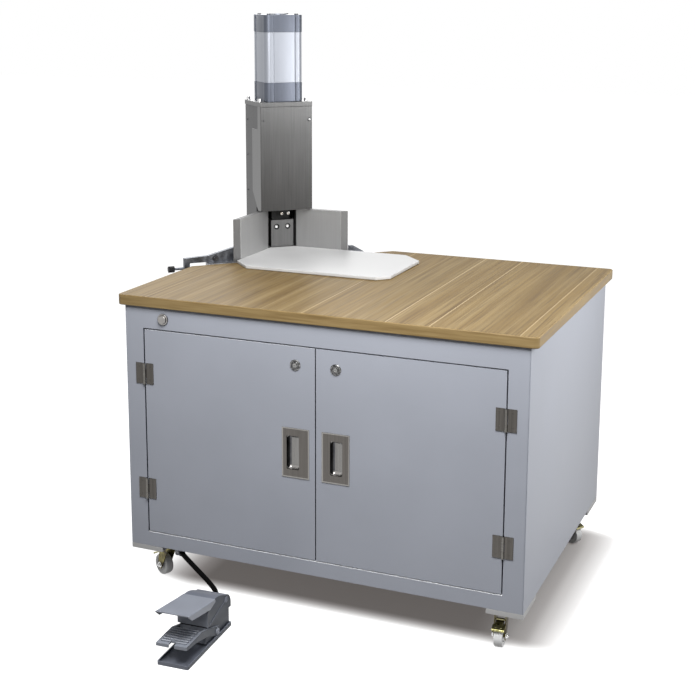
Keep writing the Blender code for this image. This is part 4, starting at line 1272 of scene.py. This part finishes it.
def pullShape(values, side, box):
    # a pressed plate with a raised rim and a deep cup with rounded ends
    halfWide, halfHigh = values["half"]
    cupHalf, cupHigh = values["cupHalf"]
    wall, rounding, deep = values["cupWall"], values["cupRound"], values["cupDeep"]
    back = -clearance
    front = back - values["thick"]
    plate = box(side + "Pull", -halfWide, halfWide, front, back, halfHigh)
    pick(plate, lambda place, normal: normal.y < -straight)
    bpy.ops.mesh.inset(thickness=values["rim"])
    bpy.ops.transform.translate(value=(0, values["rimSink"], 0))
    bpy.ops.mesh.inset(thickness=values["rim"] * values["rimSlope"])
    leaveEdit()
    middle = values["cupMiddle"] * (1 if side == "left" else -1)
    low, high = middle - cupHalf, middle + cupHalf
    shell = box("cup", low - wall, high + wall, front * values["cupStart"], deep, cupHigh + wall)
    joined(plate, softened(shell, rounding, 4))
    mouthLow, mouthHigh = values["mouth"][side]
    hollowHigh = mouthHigh + values["hollowPast"]
    hollow = box("hollow", mouthLow, hollowHigh, back - 2 * overrun, deep - wall, cupHigh)
    softened(hollow, rounding - wall, 8)
    cutWith(hollow, box("roof", low - overrun, high + overrun, back - 3 * overrun, back, cupHigh + overrun))
    cutWith(plate, hollow)
    mouth = box("mouth", mouthLow, mouthHigh, front - overrun, back + values["mouthDeep"], cupHigh)
    endsOn = lambda place, direction: abs(direction.y) > straight
    roundEdges(mouth, endsOn, values["mouthRound"], values["mouthSegments"])
    cutWith(plate, mouth)
    return softened(plate, values["edgeRadius"], 2, values["sharpAngle"])


def flushPull(values, side):
    across, z = frontValues["across"][side], values["high"]
    centre = corner + Vector((across, 0, z))
    halfWide, halfHigh = values["half"]
    cupHalf, cupHigh = values["cupHalf"]
    rim = values["rim"]
    sidePast, endPast, floorPast = values["cupPast"]
    curveLow, curveHigh = values["curveTurns"]
    face = corner.y + (-clearance - values["thick"])
    cupFloor = corner.y + values["cupDeep"] - values["cupWall"] + floorPast

    def box(name, x0, x1, y0, y1, tall):
        low, high = Vector((across + x0, y0, z - tall)), Vector((across + x1, y1, z + tall))
        return addBox(name, corner + low, corner + high)

    def onRim(place, normal):
        outer = abs(place.x - centre.x) > halfWide - rim or abs(place.z - centre.z) > halfHigh - rim
        return outer and place.y < face + values["rimDeep"]

    def onOutside(place, normal):
        return onRim(place, normal) and abs(normal.y) < values["sideTurn"]

    def inCup(place, normal):
        beside = abs(place.x - centre.x) < cupHalf + sidePast
        inside = beside and abs(place.z - centre.z) < cupHigh + endPast
        return inside and corner.y - clearance < place.y < cupFloor

    def onLeftWall(place, normal):
        return inCup(place, normal) and normal.x > values["wallTurn"]

    def onLeftCurve(place, normal):
        return inCup(place, normal) and curveLow < normal.x < curveHigh

    def atCupEnd(place, normal):
        atFoot = place.z < centre.z - cupHigh + values["cupRound"]
        return inCup(place, normal) and atFoot and normal.z > values["endTurn"]

    plate = pullShape(values, side, box)
    finished(plate, side + "_door_body", "brushed_steel", pullSteel, side + "_pull")
    # painted light and shade on the pull: a highlight on the rim, shade on its outer walls, a lighter cup,
    # shade on the cup's left curve and wall, a highlight at the cup's foot
    zoned(
        plate, (pullRim, onRim), (darkRing, onOutside), (cupSteel, inCup),
        (blackSteel, onLeftCurve), (cupEnd, atCupEnd), (darkRing, onLeftWall),
    )


hingeValues = {
    "heights": {"Upper": 0.638, "Lower": 0.300},
    "front": -0.0023,
    "out": 0.0175,
    "spread": 0.019,
    "screw": (0.0031, 0.0006),
    "screwTurn": 0.4,
}


def hingeScrews(values):
    master = domeScrew(*values["screw"])
    for side, axis in frontValues["hingeAxes"].items():
        toDoor = 1 if side == "left" else -1
        for level, height in values["heights"].items():
            for leaf, hand, body in (("Frame", -toDoor, "cabinet"), ("Door", toDoor, side + "_door_body")):
                for end, word in ((-1, "Low"), (1, "High")):
                    x, z = axis + hand * values["out"], height + end * values["spread"]
                    place = outwards(x, z, values["front"], values["screwTurn"] * end)
                    name = side + level + leaf + "Screw" + word
                    planted(master, name, place, body, "brushed_steel", hingeSteel)
    bpy.data.objects.remove(master)


gapStripValues = {"wide": 0.009, "front": 0.0204, "back": 0.0219, "edgeRadius": 0.0004}


def doorSeal(values):
    # a black strip round the opening, behind the doors' edges, painted shade that darkens the gaps
    x0, x1, z0, z1 = frontValues["opening"]
    low, high = corner + Vector((x0, values["front"], z0)), corner + Vector((x1, values["back"], z1))
    shadeStrip = addBox("doorSeal", low, high)
    inwards = Vector((values["wide"], -overrun, values["wide"]))
    cutWith(shadeStrip, addBox("hole", low + inwards, high - inwards))
    finished(softened(shadeStrip, values["edgeRadius"], 2), "cabinet", "black_rubber", blackRubber)


lockBodies(lockValues)
startButton(buttonValues)
for side in ("left", "right"):
    flushPull(pullValues, side)
hingeScrews(hingeValues)
doorSeal(gapStripValues)
print("doors fitted")


# casters: each frame stands on the swivel axis, with the wheel trailing along x
casterValues = {
    "spots": {
        "front_left": (0.076, 0.080, 155), "front_right": (1.084, 0.080, -86),
        "rear_right": (1.084, 0.800, -30), "rear_left": (0.076, 0.800, 215),
    },
    "wheelPlace": (0.028, 0, 0.031),
    "wheel": (
        (0.0054, 0.0095), (0.0086, 0.0095), (0.0098, 0.0078), (0.0168, 0.0078), (0.0182, 0.0104),
        (0.0210, 0.0117), (0.0276, 0.0119), (0.0297, 0.0108), (0.0308, 0.0080), (0.0310, 0.0040),
    ),
    "wheelSteps": 64,
    "legOut": 0.016,
    "trim": ((-0.05, 0.0161, 0), (0.08, 0.03, 0.2)),
    "forkEdge": 0.0009,
    "axleBolt": (0.0068, 0.0038, 0.0011),
    "axleNut": (0.0062, 0.0038, 0.0011),
    "axleTurn": 0.3,
    "stub": (0.0055, 0.0028, 0.005, 0.0005),
    "plateBolt": (0.0052, 0.0034, 0.0010),
    "boltSpread": 0.025,
    "boltTurn": 0.5,
    "plateLow": 0.1077,
    "pivot": (0.022, 0, 0.072),
    "tabSlope": radians(20.2),
    "tabRise": 0.0015,
    "tabThick": 0.0022,
    "tabEdge": 0.0005,
    "tabPlan": (
        (-0.001, -0.0105), (0.014, -0.0105), (0.0185, -0.0150), (0.0230, -0.0170), (0.0385, -0.0170),
        (0.0385, 0.0170), (0.0230, 0.0170), (0.0185, 0.0150), (0.014, 0.0105), (-0.001, 0.0105),
    ),
    "lip": (
        (0.0370, -0.0003), (0.0385, 0.0002), (0.0403, -0.0004), (0.0416, -0.0018), (0.0420, -0.0036),
        (0.0413, -0.0053), (0.0399, -0.0050), (0.0400, -0.0037), (0.0395, -0.0027), (0.0385, -0.0022),
        (0.0370, -0.0022),
    ),
    "lipHalf": 0.0166,
    "lipEdge": 0.0003,
    "roll": ((0.0019, -0.0107), (0.0040, -0.0107), (0.0040, 0.0107), (0.0019, 0.0107)),
    "rollSteps": 32,
    "rollDrop": 0.0015,
    "beadsAcross": (-0.007, 0.007),
    "bead": ((0.013, -0.0016, -0.0004), (0.033, 0.0016, 0.0009)),
    "beadEdge": (0.0006, 3),
}


def casterFork(values, spot, word, place):
    fork = nodeCopy(spot + "_caster_fork", word + "Fork")
    (back, inner, low), (front, outer, high) = values["trim"]
    for hand in (-1, 1):
        near, far = sorted((hand * inner, hand * outer))
        cutWith(fork, settle(addBox("trim", (back, near, low), (front, far, high)), place))
    softened(fork, values["forkEdge"], 3)
    finished(fork, spot + "_swivel_fork", "yellow_zinc", zincDark, spot + "_caster_fork")


def axleEnds(values, spot, word, place):
    # a bolt head on one leg, and on the other a nut with the bolt's end in it
    stubMiddle, stubRadius, stubLong, stubEdge = values["stub"]
    bolt, nut = hexBolt(*values["axleBolt"]), hexBolt(*values["axleNut"])
    stub = addRound("stub", (0, 0, stubMiddle), stubRadius, stubLong, 20)
    nut = fused("axleNut", nut, softened(stub, stubEdge, 2))
    for hand, master, name in ((-1, bolt, "AxleBolt"), (1, nut, "AxleNut")):
        point = Vector(values["wheelPlace"]) + Vector((0, hand * values["legOut"], 0))
        seat = place @ facing(point, (0, hand, 0), values["axleTurn"])
        planted(master, word + name, seat, spot + "_swivel_fork", *chromeScrew)
        bpy.data.objects.remove(master)


def casterWheel(values, spot, word, place):
    half = list(values["wheel"])
    profile = half + [(radius, -high) for radius, high in reversed(half)]
    wheel = spun(word + "Wheel", profile, values["wheelSteps"])
    settle(wheel, place @ facing(values["wheelPlace"], (0, -1, 0)))
    finished(wheel, spot + "_wheel", "wheel_plastic", wheelTread, spot + "_caster_wheel")


def brakeTab(values, spot, word, place):
    # a pressed tab, wider past the fork, with a curled lip at its end and two beads
    tab = addOutline(word + "BrakeTab", values["tabPlan"], -values["tabThick"], 0)
    lip = addOutline("lip", values["lip"], -values["lipHalf"], values["lipHalf"], "Y")
    roll = spun("roll", values["roll"], values["rollSteps"])
    settle(roll, facing((0, 0, -values["rollDrop"]), (0, 1, 0)))
    beads = []
    for across in values["beadsAcross"]:
        low, high = [Vector(end) + Vector((0, across, 0)) for end in values["bead"]]
        beads.append(softened(addBox("bead", low, high), *values["beadEdge"]))
    softened(tab, values["tabEdge"], 2)
    softened(lip, values["lipEdge"], 2)
    tab = fused(word + "BrakeTab", tab, lip, roll, *beads)
    lean = Matrix.Translation((0, 0, values["tabRise"])) @ Matrix.Rotation(values["tabSlope"], 4, "Y")
    settle(tab, place @ Matrix.Translation(values["pivot"]) @ lean)
    finished(tab, spot + "_brake", "yellow_zinc", zincPlate, spot + "_brake_tab")


def casters(values):
    bolts = hexBolt(*values["plateBolt"])
    spread = values["boltSpread"]
    for spot, (x, y, yaw) in values["spots"].items():
        word = pieceWord(spot)
        seat = Matrix.Translation(corner + Vector((x, y, 0)))
        place = seat @ Matrix.Rotation(radians(yaw), 4, "Z")
        for make in (casterFork, axleEnds, casterWheel, brakeTab):
            make(values, spot, word, place)
        for i, (a, b) in enumerate(((-1, -1), (1, -1), (1, 1), (-1, 1))):
            down = facing((a * spread, b * spread, values["plateLow"]), (0, 0, -1), values["boltTurn"] * i)
            planted(bolts, word + "PlateBolt" + str(i + 1), seat @ down, "cabinet", "chrome", satinChrome)
    bpy.data.objects.remove(bolts)


casters(casterValues)
print("casters fitted")


# foot pedal: x across and y from the toe to the rear
pedalValues = {
    "wider": 1.08,
    "half": 0.041,
    "near": 0.0005,
    "baseRound": 0.004,
    "baseEdge": 0.0009,
    "lowHalf": 0.0352,
    "frontFace": 0.122,
    "shelf": 0.0565,
    "frontTop": 0.098,
    "crest": (0.165, 0.120),
    "rear": (0.232, 0.100),
    "back": (0.262, 0.066),
    "foot": 0.0103,
    "archSteps": 10,
    "headEdge": 0.0014,
    "slit": (0.0557, 0.0587),
    "slitShort": 0.003,
    "slitDeep": 0.004,
    "slitDark": (0.0004, 0.0002, 0.0045),
    "rib": ((0.132, 0.0625), (0.236, 0.0905), (0.2385, 0.0870), (0.1345, 0.0590)),
    "ribOut": 0.0014,
    "seat": 0.001,
    "shadeTurn": 0.6,
    "frontTurn": 0.8,
    "guardWide": 0.0438,
    "guardAbove": 0.1215,
    "guardFold": 0.0024,
    "guardEdge": 0.0005,
    "pivot": (0.0404, 0.178, 0.022),
    "sideCap": (0.0408, 0.231, 0.088),
    "boss": (
        (0.0, 0.0), (0.0092, 0.0), (0.0092, 0.0016), (0.0085, 0.0024), (0.0064, 0.0026),
        (0.0058, 0.0019), (0.0042, 0.0017), (0.0, 0.0017),
    ),
    "gland": (
        (0.0074, 0.0), (0.0112, 0.0), (0.0112, 0.0058), (0.0104, 0.0066), (0.0096, 0.0070),
        (0.0096, 0.0115), (0.0086, 0.0128), (0.0074, 0.0128),
    ),
    "glandPlace": (-0.018, 0.262, 0.052),
    "glandEdge": 0.0004,
    "capEdge": 0.0003,
}
toPedal = pedalFrame.inverted()
pedalWider = pedalFrame @ Matrix.Diagonal((pedalValues["wider"], 1, 1, 1)) @ toPedal


def pedalNormal(normal):
    return toPedal.to_3x3() @ normal


def shadedSide(piece, *zones):
    # the side turned to the right, painted darker as shade
    onRight = lambda place, normal: pedalNormal(normal).x > pedalValues["shadeTurn"]
    return zoned(piece, *zones, (pedalShade, onRight))


def pedalBase(values):
    base, near = nodeCopy("pedal_base", "pedalBase"), values["near"]

    def atCorner(middle, direction):
        place = toPedal @ middle
        atEnd = place.y < 2 * near or abs(place.y - values["back"][0]) < near
        return abs(direction.z) > straight and abs(place.x) > values["half"] - near and atEnd

    roundEdges(base, atCorner, values["baseRound"], 4)
    settle(softened(base, values["baseEdge"], 3), pedalWider)
    shadedSide(finished(base, "cabinet", "pedal_grey", pedalPaint, "pedal_base"))


def archOver(values):
    # from the front face over the crest to the rear and round down to the back, in y and z
    front, crest = (values["frontFace"], values["frontTop"]), values["crest"]
    rear, back, steps = values["rear"], values["back"], values["archSteps"]
    rise, fall, close = [front], [], []
    for i in range(1, steps + 1):
        share = i / steps
        up, down = sin(share * pi / 2), cos(share * pi / 2)
        rise.append((front[0] + (crest[0] - front[0]) * share, front[1] + (crest[1] - front[1]) * up))
        fall.append((crest[0] + (rear[0] - crest[0]) * share, rear[1] + (crest[1] - rear[1]) * down))
        close.append((rear[0] + (back[0] - rear[0]) * up, back[1] + (rear[1] - back[1]) * down))
    return rise + fall + close


def pedalHousing(values):
    # a wide domed head over a narrower foot, so that the treadle's arms pass outside the foot
    half, low, face, back = values["half"], values["lowHalf"], values["frontFace"], values["back"][0]
    shelf, seat = values["shelf"], values["seat"]
    head = [(back, shelf), (face, shelf)] + archOver(values)
    housing = addOutline("pedalHousing", head, -half, half, "X")
    joined(housing, addBox("foot", (-low, face, values["foot"]), (low, back, shelf + overrun)))
    slitLow, slitHigh = values["slit"]
    slitEnd = (half - values["slitShort"], face + values["slitDeep"], slitHigh)
    cutWith(housing, addBox("slit", (-half - overrun, face - overrun, slitLow), slitEnd))
    for hand in (-1, 1):
        start, end = sorted((hand * (half - seat), hand * (half + values["ribOut"])))
        joined(housing, addOutline("rib", values["rib"], start, end, "X"))
    softened(housing, values["headEdge"], 3)
    settle(housing, pedalWider @ pedalFrame)
    finished(housing, "cabinet", "pedal_grey", pedalPaint, "pedal_housing")

    past, nearest, deepest = values["slitDark"]

    # the housing's front takes the guard's lighter paint: painted light where it sits under the guard
    def paintedLitFront(place, normal):
        return pedalNormal(normal).y < -values["frontTurn"]

    # the slit's inside is painted near black as shade
    def inSlit(place, normal):
        place = toPedal @ place
        inside = slitLow - past < place.z < slitHigh + past
        return inside and face + nearest < place.y < face + deepest

    shadedSide(housing, (guardPaint, paintedLitFront), (darkRing, inSlit))
    gland = softened(spun("pedalGland", values["gland"], 6), values["glandEdge"], 2)
    settle(gland, pedalFrame @ facing(values["glandPlace"], (0, 1, 0)))
    finished(gland, "cabinet", "chrome", satinChrome)


treadleValues = {
    "toe": (0.001, 0.061),
    "rear": (0.088, 0.0625),
    "thick": 0.003,
    "half": 0.0362,
    "armOut": 0.0404,
    "armSeat": 0.001,
    "arm": (
        (0.0010, 0.0610), (0.0880, 0.0625), (0.1250, 0.0525), (0.1870, 0.0330), (0.1880, 0.0150),
        (0.1790, 0.0120), (0.1680, 0.0130), (0.1200, 0.0340), (0.0600, 0.0470), (0.0010, 0.0525),
    ),
    "lipDeep": 0.0085,
    "notchHalf": 0.0075,
    "notchDeep": 0.016,
    "notchTop": 0.08,
    "ribs": 7,
    "ribFirst": 0.012,
    "ribLast": 0.006,
    "ribShort": 0.003,
    "ribWide": 0.0046,
    "ribHigh": 0.0030,
    "edgeRadius": 0.0006,
    "upTurn": 0.5,
}


def pedalTreadle(values):
    # a ribbed plate with a lip at the toe, a notch in it, and two arms back to the pivot
    toe, rear, thick, half = values["toe"], values["rear"], values["thick"], values["half"]
    lipFoot = toe[1] - values["lipDeep"]
    side = [
        toe, rear, (rear[0], rear[1] - thick), (toe[0] + thick, toe[1] - thick), (toe[0] + thick, lipFoot),
        (toe[0], lipFoot),
    ]
    treadle = addOutline("pedalTreadle", side, -half, half, "X")
    for hand in (-1, 1):
        start, end = sorted((hand * (half - values["armSeat"]), hand * values["armOut"]))
        joined(treadle, addOutline("arm", values["arm"], start, end, "X"))
    slope = (rear[1] - toe[1]) / (rear[0] - toe[0])
    pitch = (rear[0] - toe[0] - values["ribFirst"] - values["ribLast"]) / (values["ribs"] - 1)
    reach = half - values["ribShort"]
    for i in range(values["ribs"]):
        y = toe[0] + values["ribFirst"] + i * pitch
        z = toe[1] + slope * (y - toe[0])
        ribEnd = (reach, y + values["ribWide"], z + values["ribHigh"])
        joined(treadle, addBox("rib", (-reach, y, z - thick / 2), ribEnd))
    wide, deep = values["notchHalf"], values["notchDeep"]
    notchEnd = (wide, toe[0] + deep, values["notchTop"])
    cutWith(treadle, addBox("notch", (-wide, toe[0] - 2 * overrun, 0), notchEnd))
    softened(treadle, values["edgeRadius"], 2)
    settle(treadle, pedalWider @ pedalFrame)

    # the ribs' tops are painted lighter as a highlight
    def onRib(place, normal):
        place = toPedal @ place
        ribMiddle = toe[1] + slope * (place.y - toe[0]) + values["ribHigh"] * 0.5
        return normal.z > values["upTurn"] and place.z > ribMiddle

    shadedSide(finished(treadle, "treadle", "pedal_grey", treadlePaint, "pedal_treadle"), (ribPaint, onRib))


def pedalGuard(values):
    guard = nodeCopy("pedal_guard", "pedalGuard")

    def atFold(middle, direction):
        place = toPedal @ middle
        outer = abs(place.x) > values["guardWide"] - clearance and place.z > values["guardAbove"]
        return outer and abs(pedalNormal(direction).y) > straight

    roundEdges(guard, atFold, values["guardFold"], 3)
    settle(softened(guard, values["guardEdge"], 2), pedalWider)
    finished(guard, "cabinet", "pedal_grey", guardPaint, "pedal_guard")


def pedalBosses(values):
    out, back, high = values["pivot"]
    for hand, name in ((-1, "Left"), (1, "Right")):
        place = pedalWider @ pedalFrame @ facing((hand * out, back, high), (hand, 0, 0))
        boss = settle(spun("pedalPivot" + name, values["boss"], 40), place)
        finished(boss, "cabinet", "pedal_grey", treadlePaint)
    cap = spun("pedalSideCap", values["boss"], 6)
    settle(cap, pedalWider @ pedalFrame @ facing(values["sideCap"], (1, 0, 0)))
    finished(softened(cap, values["capEdge"], 2), "cabinet", "pedal_grey", pedalPaint)


pedalBase(pedalValues)
pedalHousing(pedalValues)
pedalTreadle(treadleValues)
pedalGuard(pedalValues)
pedalBosses(pedalValues)
print("pedal built")


# floor, world and lamps
stageValues = {
    "floorSize": 40,
    "floorSeen": (0.35, 0.348, 0.346),
    "floorBounce": (0.12, 0.116, 0.112),
    # the footprint and the fade of the floor's painted shadow
    "middle": (0.0941, 0.2206),
    "half": (0.455, 0.3675),
    "edge": (0.17, 0.065),
    # the floor's glow: dim at the footprint as painted shadow, white far away
    "glow": [
        (0.0, (0.115, 0.104, 0.098)), (0.25, (0.19, 0.175, 0.17)), (0.5, (0.34, 0.325, 0.32)),
        (0.75, (0.60, 0.59, 0.585)), (1.0, (1.0, 1.0, 1.0)),
    ],
    "worldLight": 0.19,
}


def seenDirectly(tree):
    # 1 for the camera and for what polished metal or clear plastic shows, 0 for the light that bounces about
    path = addNode(tree, "LightPath").outputs
    first = reckon(tree, "MAXIMUM", path["Is Camera Ray"], path["Is Glossy Ray"])
    return reckon(tree, "MAXIMUM", first, path["Is Transmission Ray"])


def whiteStage(values):
    clearSelection()
    bpy.ops.mesh.primitive_plane_add(size=values["floorSize"], location=(0, 0, 0))
    floor = named("studioFloor")
    finish, tree, shader, place = startFinish("studioFloor", values["floorSeen"], 0.9, shine=0)
    bounce = addNode(tree, "BsdfDiffuse", {"Color": (*values["floorBounce"], 1)})
    # how far a point of the floor is from the cabinet's footprint; near the footprint the glow is dimmed, a
    # painted shadow under the cabinet, and far away it is an even white
    steps = (
        ("SUBTRACT", (*values["middle"], 0)), ("ABSOLUTE", None), ("SUBTRACT", (*values["half"], 0)),
        ("MAXIMUM", (0, 0, 0)), ("DIVIDE", (*values["edge"], 1)), ("LENGTH", None),
    )
    at = place
    for operation, other in steps:
        step = addNode(tree, "VectorMath", {0: at, 1: other} if other else {0: at}, operation)
        at = step.outputs["Value" if operation == "LENGTH" else "Vector"]
    glow = addNode(tree, "Emission", {"Color": ramp(tree, at, values["glow"])})
    lit = addNode(tree, "AddShader", {0: shader.outputs[0], 1: glow.outputs[0]})
    either = addNode(tree, "MixShader", {0: seenDirectly(tree), 1: bounce.outputs[0], 2: lit.outputs[0]})
    tree.links.new(either.outputs[0], tree.nodes["Material Output"].inputs["Surface"])
    floor.data.materials.append(finish)


def whiteWorld(values):
    world = bpy.data.worlds.new("studio")
    bpy.context.scene.world = world
    world.use_nodes = True
    tree = world.node_tree
    inputs = {"Value": seenDirectly(tree), "To Min": values["worldLight"], "To Max": 1.0}
    level = addNode(tree, "MapRange", inputs).outputs["Result"]
    feed(tree, tree.nodes["Background"], {"Color": (1, 1, 1, 1), "Strength": level})


lampValues = [
    # name, place, target, size, power
    ("frontLamp", (0.42, -1.30, 2.28), (0.05, -0.1, 0.95), 1.1, 62),
    ("sideLamp", (1.55, 0.15, 1.28), (0.55, 0.12, 0.85), 0.8, 15.6),
    ("backLamp", (-1.3, 1.6, 2.3), (-0.1, 0.1, 0.75), 1.6, 34),
]


def hangLamps(values):
    for name, place, target, size, power in values:
        lamp = bpy.data.lights.new(name, "AREA")
        lamp.shape = "SQUARE"
        lamp.size = size
        lamp.energy = power
        holder = newObject(name, lamp)
        holder.location = place
        aim = Vector(target) - Vector(place)
        holder.rotation_euler = aim.to_track_quat("-Z", "Y").to_euler()


whiteStage(stageValues)
whiteWorld(stageValues)
hangLamps(lampValues)
bpy.context.scene.view_settings.view_transform = "Standard"
print("stage and lamps set")
